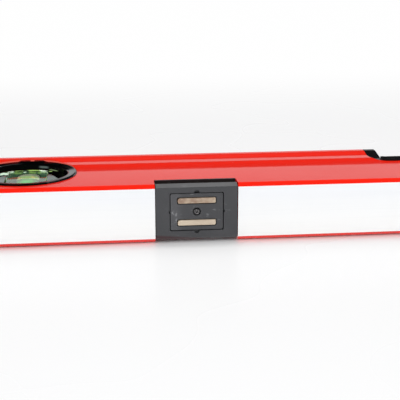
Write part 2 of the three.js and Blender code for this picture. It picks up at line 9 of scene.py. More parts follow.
import bmesh
import bpy
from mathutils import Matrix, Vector


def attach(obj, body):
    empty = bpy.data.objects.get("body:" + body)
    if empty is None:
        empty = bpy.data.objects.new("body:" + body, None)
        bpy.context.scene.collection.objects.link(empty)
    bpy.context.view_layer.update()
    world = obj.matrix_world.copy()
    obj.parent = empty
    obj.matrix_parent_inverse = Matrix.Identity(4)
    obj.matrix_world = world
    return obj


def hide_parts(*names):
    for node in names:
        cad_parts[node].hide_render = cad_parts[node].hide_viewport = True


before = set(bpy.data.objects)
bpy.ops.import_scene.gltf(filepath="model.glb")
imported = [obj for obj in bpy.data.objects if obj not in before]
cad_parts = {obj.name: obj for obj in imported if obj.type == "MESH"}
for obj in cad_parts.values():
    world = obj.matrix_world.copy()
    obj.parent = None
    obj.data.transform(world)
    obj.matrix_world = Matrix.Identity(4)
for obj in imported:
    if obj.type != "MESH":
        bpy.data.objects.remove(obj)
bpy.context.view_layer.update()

log = logging.getLogger("level")

MM = 0.001
ROOT = "level"
FINE = 128
BORED = 96
SOFT = 48
MERGE = 1e-7
SLACK = 0.01
SHARP_FROM = math.radians(32)
BROKEN_FROM = math.radians(40)
PLUMB_X = 185.5

Triple = tuple[float, float, float]
Corner = Triple
Colour = Triple
Span = tuple[float, float]
Settings = dict[str, object]

EVEN: Triple = (1, 1, 1)
BLACK: Colour = (0, 0, 0)
WHITE: Colour = (1, 1, 1)


class Axis(Enum):
    """Direction a section is drawn out along, after the two directions it is drawn in."""

    ALONG = ((0, 1, 0), (0, 0, 1), (1, 0, 0))
    ACROSS = ((1, 0, 0), (0, 0, 1), (0, 1, 0))
    UP = ((1, 0, 0), (0, 1, 0), (0, 0, 1))

    @property
    def direction(self) -> Vector:
        """Unit vector of the draw."""
        return Vector(self.value[2])


class Side(Enum):
    """Left and right half of the level."""

    LEFT = -1
    RIGHT = 1

    @property
    def word(self) -> str:
        """Name of the side, as the pieces carry it."""
        return self.name.lower()


class Slot(Enum):
    """Material slots of the record."""

    RED = "red_aluminium"
    CAP = "cap_plastic"
    HOUSING = "housing_plastic"
    GLOSS = "gloss_black"
    POLE = "pole_steel"
    SCREW = "screw_steel"
    CLEAR = "clear_block"
    LIQUID = "green_liquid"
    BUBBLE = "bubble"
    SEAL = "seal_plastic"


# Shader work


class Wire:
    """A number on a node socket, so that shader maths reads as plain arithmetic."""

    def __init__(self, book: "NodeBook", socket: bpy.types.NodeSocket) -> None:
        """Keep the socket with the tree it belongs to."""
        self.book = book
        self.socket = socket

    def _maths(self, operation: str, *operands: "Wire | float") -> "Wire":
        """Output of a new Math node."""
        return self.book.node("ShaderNodeMath", {"operation": operation}, dict(enumerate(operands)))

    def __add__(self, other: "Wire | float") -> "Wire":
        """Sum."""
        return self._maths("ADD", self, other)

    __radd__ = __add__

    def __mul__(self, other: "Wire | float") -> "Wire":
        """Product."""
        return self._maths("MULTIPLY", self, other)

    __rmul__ = __mul__

    def __sub__(self, other: "Wire | float") -> "Wire":
        """Difference."""
        return self._maths("SUBTRACT", self, other)

    def __rsub__(self, other: "Wire | float") -> "Wire":
        """Difference from a number."""
        return self._maths("SUBTRACT", other, self)

    def __abs__(self) -> "Wire":
        """Distance from nought."""
        return self._maths("ABSOLUTE", self)

    def step(self, low: float, high: float) -> "Wire":
        """Smooth ramp from 0 at low to 1 at high."""
        settings = {"interpolation_type": "SMOOTHSTEP"}
        return self.book.node("ShaderNodeMapRange", settings, {0: self, 1: low, 2: high})


Feed = Wire | float | Sequence[float]
Sockets = dict[int | str, Feed]


class NodeBook:
    """Node tree of one material or world."""

    def __init__(self, tree: bpy.types.NodeTree) -> None:
        """Start from an empty tree."""
        tree.nodes.clear()
        self.tree = tree
        self.masks: dict["Mask", Wire] = {}

    def add(self, kind: str, settings: Settings, sockets: Sockets) -> bpy.types.Node:
        """Add a node.

        Args:
            kind: node type.
            settings: properties, set before the sockets.
            sockets: values or wires by socket name or number.

        Returns:
            The node.
        """
        made = self.tree.nodes.new(kind)
        for name, value in settings.items():
            setattr(made, name, value)
        for name, value in sockets.items():
            if isinstance(value, Wire):
                self.tree.links.new(value.socket, made.inputs[name])
            else:
                made.inputs[name].default_value = value
        return made

    def node(self, kind: str, settings: Settings, sockets: Sockets, out: int | str = 0) -> Wire:
        """One output of a new node."""
        return Wire(self, self.add(kind, settings, sockets).outputs[out])

    def place(self, stretch: Triple) -> Wire:
        """Object coordinates, stretched."""
        spot = self.node("ShaderNodeTexCoord", {}, {}, "Object")
        return self.node("ShaderNodeMapping", {}, {"Vector": spot, "Scale": stretch})

    def along(self, axis: str) -> Wire:
        """One Object coordinate in millimetres."""
        spot = self.node("ShaderNodeTexCoord", {}, {}, "Object")
        return self.node("ShaderNodeSeparateXYZ", {}, {0: spot}, axis) * (1 / MM)

    def mask(self, pattern: "Mask") -> Wire:
        """Output of a pattern, made once in each tree.

        Args:
            pattern: the pattern.

        Returns:
            Its output.
        """
        if pattern not in self.masks:
            self.masks[pattern] = pattern.wire(self)
        return self.masks[pattern]

    def mix(self, share: Feed, first: Feed, second: Feed) -> Wire:
        """Blend two colours."""
        settings = {"data_type": "RGBA"}
        return self.node("ShaderNodeMix", settings, {0: share, 6: first, 7: second}, 2)

    def ray(self, kind: str) -> Wire:
        """Whether a ray is of a kind."""
        return self.node("ShaderNodeLightPath", {}, {}, f"Is {kind} Ray")


def full(colour: Colour) -> tuple[float, float, float, float]:
    """Colour with an opaque alpha."""
    return (*colour, 1.0)


@dataclass(frozen=True)
class Grain:
    """Cloudy pattern: width of a cloud in millimetres, octaves, stretch, levels that press it to a mask."""

    size: float
    detail: float = 3
    stretch: Triple = EVEN
    levels: Span | None = None

    def pressed(self, low: float, high: float) -> "Grain":
        """The same pattern, pressed between two levels."""
        return replace(self, levels=(low, high))

    def wire(self, book: NodeBook) -> Wire:
        """Add the pattern's nodes, unless a tree has them.

        Args:
            book: the material's tree.

        Returns:
            A number round one half, or the mask.
        """
        if self.levels:
            return book.mask(replace(self, levels=None)).step(*self.levels)
        sockets = {"Vector": book.place(self.stretch), "Scale": 1 / (self.size * MM), "Detail": self.detail}
        return book.node("ShaderNodeTexNoise", {}, sockets)


@dataclass(frozen=True)
class Specks:
    """Small scattered spots: mean distance in millimetres, and the share of it that a spot reaches."""

    size: float
    reach: float

    def wire(self, book: NodeBook) -> Wire:
        """Mask that is 1 in the middle of each spot."""
        sockets = {"Vector": book.place(EVEN), "Scale": 1 / (self.size * MM)}
        return book.node("ShaderNodeTexVoronoi", {}, sockets, "Distance").step(self.reach, self.reach * 0.4)


@dataclass(frozen=True)
class Slope:
    """Ramp along one direction of the level, in millimetres."""

    axis: str
    low: float
    high: float

    def wire(self, book: NodeBook) -> Wire:
        """Mask that is 0 at low and 1 at high."""
        return book.along(self.axis).step(self.low, self.high)


@dataclass(frozen=True)
class Around(Slope):
    """Ramp by the distance from a place, in millimetres; a mirrored one is the same on both halves."""

    place: float = 0.0
    mirrored: bool = False

    def wire(self, book: NodeBook) -> Wire:
        """Mask that is 0 at the distance low and 1 at the distance high."""
        spot = book.along(self.axis)
        return abs((abs(spot) if self.mirrored else spot) - self.place).step(self.low, self.high)


@dataclass(frozen=True)
class Wedge(Slope):
    """Ramp across a line that rises along the level: its height at the middle, and its slope."""

    height: float = 0.0
    slope: float = 0.0

    def wire(self, book: NodeBook) -> Wire:
        """Mask that is 1 well under the line."""
        return (book.along("X") * self.slope - book.along(self.axis) + self.height).step(self.low, self.high)


Mask = Grain | Specks | Slope


class Layer:
    """Colour that is laid where all its masks meet, at a share of its strength."""

    def __init__(self, colour: Colour, share: float, *masks: Mask) -> None:
        """Keep what the layer is made of."""
        self.colour = colour
        self.share = share
        self.masks = masks

    def over(self, tone: Feed, book: NodeBook) -> Wire:
        """Colour with this layer on it."""
        share = math.prod(map(book.mask, self.masks), start=self.share)
        return book.mix(share, tone, full(self.colour))


Layers = tuple[Layer, ...]
Shares = tuple[tuple[Mask, float], ...]


def stacked(colour: Colour, layers: Layers, book: NodeBook) -> Feed:
    """Lay layers over a colour, the lowest first.

    Args:
        colour: what lies under them all.
        layers: the layers.
        book: the material's tree.

    Returns:
        The colour on top.
    """
    tone = full(colour)
    for layer in layers:
        tone = layer.over(tone, book)
    return tone


@dataclass(frozen=True)
class Finish:
    """A finish that can be put on pieces: layers over a colour, and what roughens and lifts the surface."""

    title: str = ""
    colour: Colour = WHITE
    layers: Layers = ()
    roughness: float = 0.5
    roughening: Shares = ()
    relief: Mask | None = None
    depth: float = 0.03
    strength: float = 0.5
    metallic: float = 0.0
    ior: float = 1.5
    clearness: float = 0.0
    glow: float = 0.0

    def extras(self, book: NodeBook) -> Sockets:
        """Sockets that only one kind of finish has."""
        return {}

    def paint(self, book: NodeBook) -> None:
        """Fill a tree with one Principled shader.

        Args:
            book: the material's tree.
        """
        tone = stacked(self.colour, self.layers, book)
        rough = sum((book.mask(mask) * share for mask, share in self.roughening), start=self.roughness)
        sockets = {"Base Color": tone, "Roughness": rough, "Metallic": self.metallic, "IOR": self.ior}
        sockets |= {"Transmission Weight": self.clearness, "Emission Strength": self.glow}
        if self.relief:
            heights = book.mask(self.relief)
            bump = {"Strength": self.strength, "Distance": self.depth * MM, "Height": heights}
            sockets["Normal"] = book.node("ShaderNodeBump", {}, bump)
        if self.glow:
            sockets["Emission Color"] = tone
        shader = book.node("ShaderNodeBsdfPrincipled", {}, sockets | self.extras(book))
        book.add("ShaderNodeOutputMaterial", {}, {"Surface": shader})

    def material(self) -> bpy.types.Material:
        """Make the material of this finish, once.

        Returns:
            The material.
        """
        name = f"{self.title}_finish"
        made = bpy.data.materials.get(name)
        if made is None:
            made = bpy.data.materials.new(name)
            made.use_nodes = True
            self.paint(NodeBook(made.node_tree))
        return made


@dataclass(frozen=True)
class RedCoat(Finish):
    """Glossy red powder coat with deeper clouds, a soft orange-peel skin, scuffs and a little dust."""

    title: str = "red_coat"
    colour: Colour = (0.87, 0.014, 0.003)
    clouds: Mask = Grain(46, 2, (0.4, 1, 1), (0.35, 0.7))
    dust: Layer = Layer((0.90, 0.30, 0.26), 0.35, Specks(7, 0.055))
    layers: Layers = (Layer((0.80, 0.009, 0.002), 0.7, clouds), dust)
    relief: Mask = Grain(1.7, 2)
    strength: float = 0.4
    roughness: float = 0.15
    roughening: Shares = ((relief, 0.04), (clouds, 0.04), (Grain(3, 4, (0.12, 1, 1), (0.66, 0.8)), 0.08))
    ior: float = 1.45


@dataclass(frozen=True)
class SeatCoatPaintedLight(RedCoat):
    """Coat on the wall of a vial's seat, painted brighter than the red coat and painted pale below the top
    face: painted light.
    """

    title: str = "seat_coat"
    colour: Colour = (1.0, 0.028, 0.012)
    layers: Layers = (
        Layer((0.98, 0.022, 0.010), 0.7, RedCoat.clouds),
        RedCoat.dust,
        # Painted light: the wall is painted pale below the top face.
        Layer((1.0, 0.15, 0.11), 1.0, Slope("Z", 26.0, 25.6)),
    )


@dataclass(frozen=True)
class MilledFace(Finish):
    """Bare aluminium of the measuring face: milling lines over warm bands, and painted light that makes it
    paler towards the foot.
    """

    title: str = "milled_face"
    colour: Colour = (0.93, 0.945, 0.97)
    broad: Mask = Grain(9, 2, (0.04, 1, 1), (0.3, 0.75))
    relief: Mask = Grain(0.55, 3, (0.012, 1, 1))
    layers: Layers = (
        Layer((0.97, 0.975, 0.96), 0.6, broad),
        # Painted light: paler towards the foot, where light bounces up from the floor.
        Layer((1.0, 1.0, 0.99), 0.8, Slope("Z", 22, 6)),
        Layer((0.84, 0.86, 0.88), 0.2, relief.pressed(0.5, 0.85)),
    )
    depth: float = 0.02
    strength: float = 0.35
    roughness: float = 0.28
    roughening: Shares = ((relief, 0.16), (broad, 0.06))
    metallic: float = 0.55


@dataclass(frozen=True)
class RawExtrusion(Finish):
    """Uncoated aluminium inside the extrusion, with die lines."""

    title: str = "raw_extrusion"
    colour: Colour = (0.62, 0.63, 0.65)
    relief: Mask = Grain(0.8, 3, (0.01, 1, 1))
    layers: Layers = (Layer((0.48, 0.49, 0.52), 1.0, relief.pressed(0.35, 0.7)),)
    roughness: float = 0.3
    roughening: Shares = ((relief, 0.2),)
    metallic: float = 1.0


CLOUDS = Grain(11, 3, levels=(0.35, 0.72))
MARKS = Grain(1.5, 4, (0.5, 1, 1.6), (0.62, 0.74))
PATCHES = Grain(7, 1, levels=(0.5, 0.66))
WORN: Colour = (0.066, 0.066, 0.070)


def handled(worn: Colour = WORN, scuffs: float = 0.3) -> Layers:
    """Worn clouds and patches of dusty marks on a moulding."""
    return Layer(worn, 0.35, CLOUDS), Layer((0.30, 0.31, 0.32), scuffs, MARKS, PATCHES)


@dataclass(frozen=True)
class MouldedBlack(Finish):
    """Dark moulded plastic with a fine spark-eroded grain, handling marks and dust."""

    title: str = "moulded_black"
    colour: Colour = (0.042, 0.043, 0.047)
    layers: Layers = handled()
    relief: Mask = Grain(0.5, 2)
    strength: float = 0.6
    roughness: float = 0.34
    roughening: Shares = ((relief, 0.12), (CLOUDS, 0.08), (MARKS, 0.08))
    ior: float = 1.49


@dataclass(frozen=True)
class HousingPlastic(MouldedBlack):
    """Plastic of a magnet housing, with painted shade and a painted red reflection in a wedge along the foot
    of the left one.
    """

    title: str = "housing_plastic"
    # Painted shade and painted red reflection: the dark red wedge along the foot of the left housing.
    foot: Mask = Wedge("Z", -0.3, 0.5, height=-7.6, slope=-0.085)
    layers: Layers = (*handled(), Layer((0.040, 0.011, 0.013), 0.85, foot))


@dataclass(frozen=True)
class PlatePlastic(MouldedBlack):
    """Plastic of an insert plate, with a painted sheen and a pale streaked spot beside the bars of the left
    one.
    """

    title: str = "plate_plastic"
    roughness: float = 0.30
    streaks: Mask = Grain(0.9, 3, (1, 1, 0.6), (0.52, 0.66))
    across: Mask = Around("X", 1.7, 0.5, place=-125.3)
    upward: Mask = Around("Z", 3.4, 1.6, place=11.0)
    layers: Layers = (
        *handled(scuffs=0.5),
        # Painted sheen: a lighter band beside the bars of the left plate; the next layer lays a pale streaked
        # spot in it.
        Layer((0.115, 0.115, 0.125), 0.3, replace(across, low=4.0, high=1.0)),
        Layer((0.38, 0.38, 0.40), 0.55, across, upward, streaks),
    )


WIPES = Grain(0.6, 3, (0.15, 1, 1), (0.55, 0.8))
HAZE = Grain(8, 2, levels=(0.4, 0.7))


def wiped(haze: Colour) -> Layers:
    """Haze in wiping marks and in clouds."""
    return Layer(haze, 0.3, WIPES), Layer(haze, 0.2, HAZE)


@dataclass(frozen=True)
class GlossBlack(Finish):
    """Polished black plastic of the bezels, with hairline wiping marks."""

    title: str = "gloss_black"
    colour: Colour = (0.003, 0.003, 0.0035)
    layers: Layers = wiped((0.010, 0.010, 0.012))
    relief: Mask = Grain(5, 1)
    strength: float = 0.3
    roughness: float = 0.05
    roughening: Shares = ((WIPES, 0.04), (HAZE, 0.03))


def beside_vial(middle: float, reach: float) -> Around:
    """Soft spot along the level, by its place beside the middle of a plumb vial and its half width."""
    return Around("X", reach, reach * 0.4, place=PLUMB_X + middle, mirrored=True)


def glint(middle: float, reach: float, low: float, high: float, colour: Colour) -> Layer:
    """Patch of light on the far wall round a plumb vial.

    Args:
        middle: its place beside the middle of the vial.
        reach: half its width.
        low: its lower edge.
        high: its upper edge.
        colour: its colour.

    Returns:
        The patch.
    """
    above, below = Slope("Z", low - 0.2, low + 0.2), Slope("Z", high + 0.2, high - 0.2)
    return Layer(colour, 1.0, beside_vial(middle, reach), above, below, Slope("Y", 2, 6))


@dataclass(frozen=True)
class GlintedBlack(Finish):
    """Black wall behind a plumb vial, painted darker than the gloss black as painted shade, with painted
    patches of light that its clear block throws on it.
    """

    title: str = "glinted_black"
    # Painted shade: a darker black than the gloss black.
    colour: Colour = (0.0012, 0.0012, 0.0014)
    layers: Layers = (Layer((0.003, 0.003, 0.004), 1.0, WIPES),)
    glints: Layers = ()
    roughness: float = 0.1
    roughening: Shares = ((WIPES, 0.04),)
    ior: float = 1.12
    glow: float = 1.0

    def extras(self, book: NodeBook) -> Sockets:
        """Light in the glints alone."""
        return {"Emission Color": stacked(BLACK, self.glints, book)}


@dataclass(frozen=True)
class PoleSteel(Finish):
    """Ground steel of the pole bars, toned warm by its lacquer, with brown blotches and painted light that
    makes them paler towards the foot.
    """

    title: str = "pole_steel"
    colour: Colour = (0.52, 0.42, 0.31)
    blotches: Mask = Grain(2.6, 3, (0.6, 1, 1), (0.36, 0.7))
    relief: Mask = Grain(0.35, 3, (0.15, 1, 1))
    layers: Layers = (
        Layer((0.33, 0.22, 0.16), 1.0, blotches),
        # Painted light: paler towards the foot, so the lower bar is paler than the upper.
        Layer((0.70, 0.59, 0.46), 0.75, Slope("Z", 18.5, 8)),
        Layer((0.86, 0.80, 0.68), 0.3, relief.pressed(0.55, 0.8)),
    )
    roughness: float = 0.3
    roughening: Shares = ((relief, 0.2), (blotches, 0.1))
    metallic: float = 0.45


@dataclass(frozen=True)
class DarkSteel(Finish):
    """Blackened steel of the small screws."""

    title: str = "dark_steel"
    colour: Colour = (0.085, 0.083, 0.085)
    relief: Mask = Grain(0.5, 3, levels=(0.5, 0.75))
    layers: Layers = (Layer((0.30, 0.29, 0.29), 1.0, relief),)
    depth: float = 0.01
    roughness: float = 0.25
    roughening: Shares = ((relief, 0.15),)
    metallic: float = 0.9


@dataclass(frozen=True)
class Ferrite(Finish):
    """Dark grey sintered magnet."""

    title: str = "ferrite"
    colour: Colour = (0.055, 0.055, 0.060)
    relief: Mask = Grain(0.4, 4)
    layers: Layers = (Layer((0.12, 0.12, 0.125), 1.0, relief.pressed(0.5, 0.75)),)
    depth: float = 0.06
    strength: float = 0.7
    roughness: float = 0.45
    roughening: Shares = ((relief, 0.2),)
    metallic: float = 0.3


@dataclass(frozen=True)
class ClearBlock(Finish):
    """Clear acrylic with faint flow lines."""

    title: str = "clear_block"
    colour: Colour = (0.46, 0.64, 0.56)
    relief: Mask = Grain(4, 2, (1, 0.4, 1))
    layers: Layers = (Layer((0.62, 0.74, 0.64), 0.5, relief),)
    strength: float = 0.25
    roughness: float = 0.0
    roughening: Shares = ((relief, 0.03),)
    ior: float = 1.37
    clearness: float = 1.0


@dataclass(frozen=True)
class PaintedLightFoot(Finish):
    """Rough underside of a clear block, painted dim teal with a faint painted glow in place of the light seen
    through the block.
    """

    title: str = "painted_light_foot"
    # Painted light: dim teal and a faint glow.
    colour: Colour = (0.14, 0.24, 0.18)
    relief: Mask = Grain(2.2, 3, levels=(0.35, 0.7))
    layers: Layers = (Layer((0.23, 0.33, 0.26), 1.0, relief),)
    depth: float = 0.02
    strength: float = 0.4
    roughening: Shares = ((relief, 0.1),)
    glow: float = 0.15


GATHERED = Grain(3.2, 2, (1, 1, 0.2), (0.4, 0.62))


def lit_edge(*spots: Span) -> Layers:
    """Painted glow: lime patches along an upper edge, and painted white highlights given by their middle and
    half width.
    """
    # Painted highlights: the white spots.
    white = (Layer((0.90, 1.0, 0.80), 1.0, beside_vial(*spot), Slope("Z", 19.0, 21.0)) for spot in spots)
    return Layer((0.26, 0.40, 0.10), 1.0, Slope("Z", 16.0, 20.0), GATHERED), *white


@dataclass(frozen=True)
class EdgeGlow(Finish):
    """Polished end of a clear block, with a painted lime glow along its upper edge where the light comes out,
    and painted white highlights.
    """

    title: str = "edge_glow"
    colour: Colour = (0.05, 0.10, 0.06)
    layers: Layers = lit_edge((-6.6, 1.9), (7.3, 1.3), (1.6, 0.8))
    roughness: float = 0.2
    roughening: Shares = ((GATHERED, 0.1),)
    glow: float = 0.95


@dataclass(frozen=True)
class WettedWall(Finish):
    """Bore wall, which the liquid wets, so that it all but vanishes."""

    title: str = "wetted_wall"
    colour: Colour = (0.80, 0.95, 0.55)
    film: Mask = Grain(3, 2, levels=(0.4, 0.8))
    layers: Layers = (Layer((0.9, 1.0, 0.8), 1.0, film),)
    roughness: float = 0.1
    ior: float = 1.05

    def extras(self, book: NodeBook) -> Sockets:
        """Film that is a little thicker in clouds."""
        return {"Alpha": book.mask(self.film) * 0.03 + 0.01}


@dataclass(frozen=True)
class GreenLiquid(Finish):
    """Fluorescent yellow-green spirit, with a painted glow in place of the light that reaches it through the
    block.
    """

    title: str = "green_liquid"
    colour: Colour = (0.05, 0.48, 0.11)
    swirl: Mask = Grain(6, 2, levels=(0.3, 0.75))
    layers: Layers = (Layer((0.09, 0.58, 0.15), 1.0, swirl),)
    roughness: float = 0.05
    roughening: Shares = ((swirl, 0.05),)
    ior: float = 1.12
    clearness: float = 0.8
    glow: float = 0.2


@dataclass(frozen=True)
class PlumbLiquid(GreenLiquid):
    """Spirit of a plumb vial, bright in its core where it is seen from above, with painted shade that darkens
    it to teal towards its sides and a painted pale refraction at its far end.
    """

    title: str = "plumb_liquid"
    layers: Layers = (
        *GreenLiquid.layers,
        # Painted shade: darker teal away from the core.
        Layer((0.12, 0.22, 0.17), 0.85, Around("X", 2.0, 4.4, place=PLUMB_X, mirrored=True)),
        # Painted refraction: pale at the far end.
        Layer((0.72, 0.80, 0.46), 0.9, Slope("Y", 6.0, 9.0)),
    )
    clearness: float = 0.6
    glow: float = 0.33


@dataclass(frozen=True)
class AirBubble(Finish):
    """Air in the vial, seen as a pale lens: its pale colour and its glow are painted light."""

    title: str = "air_bubble"
    colour: Colour = (0.62, 0.98, 0.50)
    rim: Mask = Grain(2.5, 1, levels=(0.3, 0.8))
    layers: Layers = (Layer((0.95, 1.0, 0.85), 1.0, rim),)
    roughness: float = 0.02
    roughening: Shares = ((rim, 0.03),)
    ior: float = 1.2
    clearness: float = 0.6
    glow: float = 0.30


@dataclass(frozen=True)
class SealPlastic(Finish):
    """Milky plug that closes a vial's bore, with a painted glow for the light it carries from the block round
    it.
    """

    title: str = "seal_plastic"
    colour: Colour = (0.82, 0.72, 0.56)
    relief: Mask = Grain(2, 3, levels=(0.35, 0.7))
    layers: Layers = (Layer((0.86, 0.80, 0.64), 1.0, relief),)
    strength: float = 0.4
    roughness: float = 0.35
    roughening: Shares = ((relief, 0.1),)
    glow: float = 0.30


@dataclass(frozen=True)
class LineInk(Finish):
    """Black ink of the reading lines."""

    title: str = "line_ink"
    colour: Colour = (0.008, 0.010, 0.008)
    film: Mask = Grain(0.5, 2, levels=(0.4, 0.7))
    layers: Layers = (Layer((0.022, 0.026, 0.02), 1.0, film),)
    roughness: float = 0.4
    roughening: Shares = ((film, 0.1),)


@dataclass(frozen=True)
class StudioFloor(Finish):
    """Smooth white table that can be looked through from below; the camera sees it a little lifted."""

    title: str = "studio_floor"
    colour: Colour = (0.945, 0.948, 0.955)
    clouds: Mask = Grain(160, 2, levels=(0.3, 0.7))
    layers: Layers = (Layer((0.935, 0.938, 0.948), 1.0, clouds),)
    roughness: float = 0.26
    ior: float = 1.45
    front_lift: float = 0.54
    front_span: Span = (-25.5, -34)
    lift: float = 0.36
    lift_span: Span = (20, 60)
    far_lift: float = 0.63
    far_span: Span = (180, 520)
    mirrored_lift: float = 0.45

    def paint(self, book: NodeBook) -> None:
        """Fill the tree with the table's shader, its lift and its see-through underside.

        Args:
            book: the material's tree.
        """
        tone = stacked(self.colour, self.layers, book)
        rough = book.mask(self.clouds) * 0.03 + self.roughness
        sockets = {"Base Color": tone, "Roughness": rough, "IOR": self.ior}
        top = book.node("ShaderNodeBsdfPrincipled", {}, sockets)
        glow = book.node("ShaderNodeEmission", {}, {"Color": full(WHITE), "Strength": 1.0})
        seen, depth = book.ray("Camera"), book.along("Y")
        behind = depth.step(*self.lift_span) * self.lift + depth.step(*self.far_span) * self.far_lift
        share = seen * (depth.step(*self.front_span) * self.front_lift + behind)
        share = share + (1 - seen) * book.ray("Glossy") * self.mirrored_lift
        top = book.node("ShaderNodeMixShader", {}, {0: share, 1: top, 2: glow})
        under = book.node("ShaderNodeBsdfTransparent", {}, {})
        back = book.node("ShaderNodeNewGeometry", {}, {}, "Backfacing")
        both = book.node("ShaderNodeMixShader", {}, {0: back, 1: top, 2: under})
        book.add("ShaderNodeOutputMaterial", {}, {"Surface": both})


# Mesh work


def rectangle(u_low: float, u_high: float, v_low: float, v_high: float, radius: float = 0.0) -> list[Corner]:
    """Corners of a rectangle, each with the same rounding."""
    spots = ((u_low, v_low), (u_high, v_low), (u_high, v_high), (u_low, v_high))
    return [(u, v, radius) for u, v in spots]


def about(u: float, v: float, half_u: float, half_v: float, radius: float = 0.0) -> list[Corner]:
    """Corners of a rectangle about its middle."""
    return rectangle(u - half_u, u + half_u, v - half_v, v + half_v, radius)


def middle_of(face: bmesh.types.BMFace) -> Vector:
    """Middle of a face in millimetres."""
    return face.calc_center_median() / MM


def linked(name: str, data: bpy.types.ID) -> bpy.types.Object:
    """Put an object into the scene.

    Args:
        name: its name.
        data: mesh, light or camera that it carries.

    Returns:
        The object.
    """
    made = bpy.data.objects.new(name, data)
    bpy.context.scene.collection.objects.link(made)
    return made


class Blank:
    """Stock that is shaped with bmesh operators; all sizes are in millimetres."""

    def __init__(self) -> None:
        """Start with nothing."""
        self.bm = bmesh.new()
        self.finishes: list[Finish] = []

    def _flat(self, corners: Sequence[Corner], u: Vector, v: Vector, facets: int) -> None:
        """Lay down one face with rounded corners.

        Args:
            corners: (u, v, rounding) of each.
            u: direction of the first number.
            v: direction of the second number.
            facets: segments of a rounding.
        """
        verts = [self.bm.verts.new((u * a + v * b) * MM) for a, b, _ in corners]
        self.bm.faces.new(verts)
        for radius in sorted({corner[2] for corner in corners if corner[2]}):
            sharp = [vert for vert, corner in zip(verts, corners) if corner[2] == radius]
            settings = {"offset_type": "ABSOLUTE", "affect": "VERTICES", "profile": 0.5, "material": -1}
            bmesh.ops.bevel(self.bm, geom=sharp, offset=radius * MM, segments=facets, **settings)

    @classmethod
    def drawn(
        cls, corners: Sequence[Corner], axis: Axis, low: float, high: float, facets: int = 6
    ) -> "Blank":
        """Draw a section out along an axis.

        Args:
            corners: (u, v, rounding) of the section.
            axis: direction of the draw.
            low: where it starts.
            high: where it ends.
            facets: segments of a rounding.

        Returns:
            A closed blank.
        """
        made = cls()
        u, v, w = (Vector(direction) for direction in axis.value)
        made._flat(corners, u, v, facets)
        bmesh.ops.translate(made.bm, verts=made.bm.verts[:], vec=w * low * MM)
        drawn = bmesh.ops.extrude_face_region(made.bm, geom=made.bm.faces[:])
        ends = [item for item in drawn["geom"] if isinstance(item, bmesh.types.BMVert)]
        bmesh.ops.translate(made.bm, verts=ends, vec=w * (high - low) * MM)
        return made._closed()

    @classmethod
    def turned(
        cls, corners: Sequence[Corner], axis: Axis, centre: Triple, steps: int = FINE, facets: int = 4
    ) -> "Blank":
        """Spin a half section round an axis.

        Args:
            corners: (radius, height, rounding) of the half section.
            axis: direction of the spin's axis.
            centre: a point on it.
            steps: segments round.
            facets: segments of a rounding.

        Returns:
            A closed blank.
        """
        made = cls()
        bm = made.bm
        made._flat(corners, Vector((1, 0, 0)), Vector((0, 0, 1)), facets)
        bmesh.ops.delete(bm, geom=bm.faces[:], context="FACES_ONLY")
        on_axis = [edge for edge in bm.edges if all(abs(vert.co.x) < MERGE for vert in edge.verts)]
        bmesh.ops.delete(bm, geom=on_axis, context="EDGES")
        section = bm.verts[:] + bm.edges[:]
        turn = {"cent": (0, 0, 0), "axis": (0, 0, 1), "angle": math.tau, "use_merge": True}
        bmesh.ops.spin(bm, geom=section, steps=steps, **turn)
        made._closed()
        lay = Vector((0, 0, 1)).rotation_difference(axis.direction).to_matrix()
        bmesh.ops.rotate(bm, verts=bm.verts[:], cent=(0, 0, 0), matrix=lay)
        bmesh.ops.translate(bm, verts=bm.verts[:], vec=Vector(centre) * MM)
        return made

    @classmethod
    def rod(
        cls,
        radius: float,
        ends: Span,
        axis: Axis,
        centre: Triple,
        steps: int = FINE,
        edge: float = 0.0,
    ) -> "Blank":
        """Solid rod between two heights along an axis.

        Args:
            radius: its radius.
            ends: heights of its lower and upper end.
            axis: its direction.
            centre: a point that its axis passes through.
            steps: segments round.
            edge: rounding of its two rims.

        Returns:
            A closed blank.
        """
        low, high = sorted(ends)
        corners = [(0, low, 0), (radius, low, edge), (radius, high, edge), (0, high, 0)]
        return cls.turned(corners, axis, centre, steps)

    def _merge(self) -> None:
        """Merge what lies on the same spot."""
        bmesh.ops.remove_doubles(self.bm, verts=self.bm.verts[:], dist=MERGE)

    def _closed(self) -> "Blank":
        """Merge seams and poles and turn the faces outwards.

        Returns:
            This blank.
        """
        self._merge()
        bmesh.ops.recalc_face_normals(self.bm, faces=self.bm.faces[:])
        return self

    def _stand_in(self, name: str) -> bpy.types.Object:
        """Put a copy of this blank into the scene, for a modifier to work with.

        Args:
            name: name of the copy.

        Returns:
            The copy's object.
        """
        mesh = bpy.data.meshes.new(name)
        self.bm.to_mesh(mesh)
        return linked(name, mesh)

    def _joined(self, others: Sequence["Blank"], operation: str) -> "Blank":
        """Run an exact Boolean with each of the others in turn.

        Args:
            others: blanks to combine with; they are used up.
            operation: the Boolean's operation.

        Returns:
            This blank.
        """
        for other in others:
            stock, tool = self._stand_in("stock"), other._stand_in("tool")
            step = stock.modifiers.new("step", "BOOLEAN")
            step.operation = operation
            step.solver = "EXACT"
            step.object = tool
            graph = bpy.context.evaluated_depsgraph_get()
            result = bpy.data.meshes.new_from_object(stock.evaluated_get(graph))
            self.bm.clear()
            self.bm.from_mesh(result)
            self._merge()
            other.bm.free()
            meshes = [stock.data, tool.data, result]
            for spent in (stock, tool):
                bpy.data.objects.remove(spent)
            for mesh in meshes:
                bpy.data.meshes.remove(mesh)
        return self

    def cut(self, *others: "Blank") -> "Blank":
        """Take the others out."""
        return self._joined(others, "DIFFERENCE")

    def add(self, *others: "Blank") -> "Blank":
        """Weld the others on."""
        return self._joined(others, "UNION")

    def keep(self, other: "Blank") -> "Blank":
        """Keep what lies inside the other."""
        return self._joined([other], "INTERSECT")

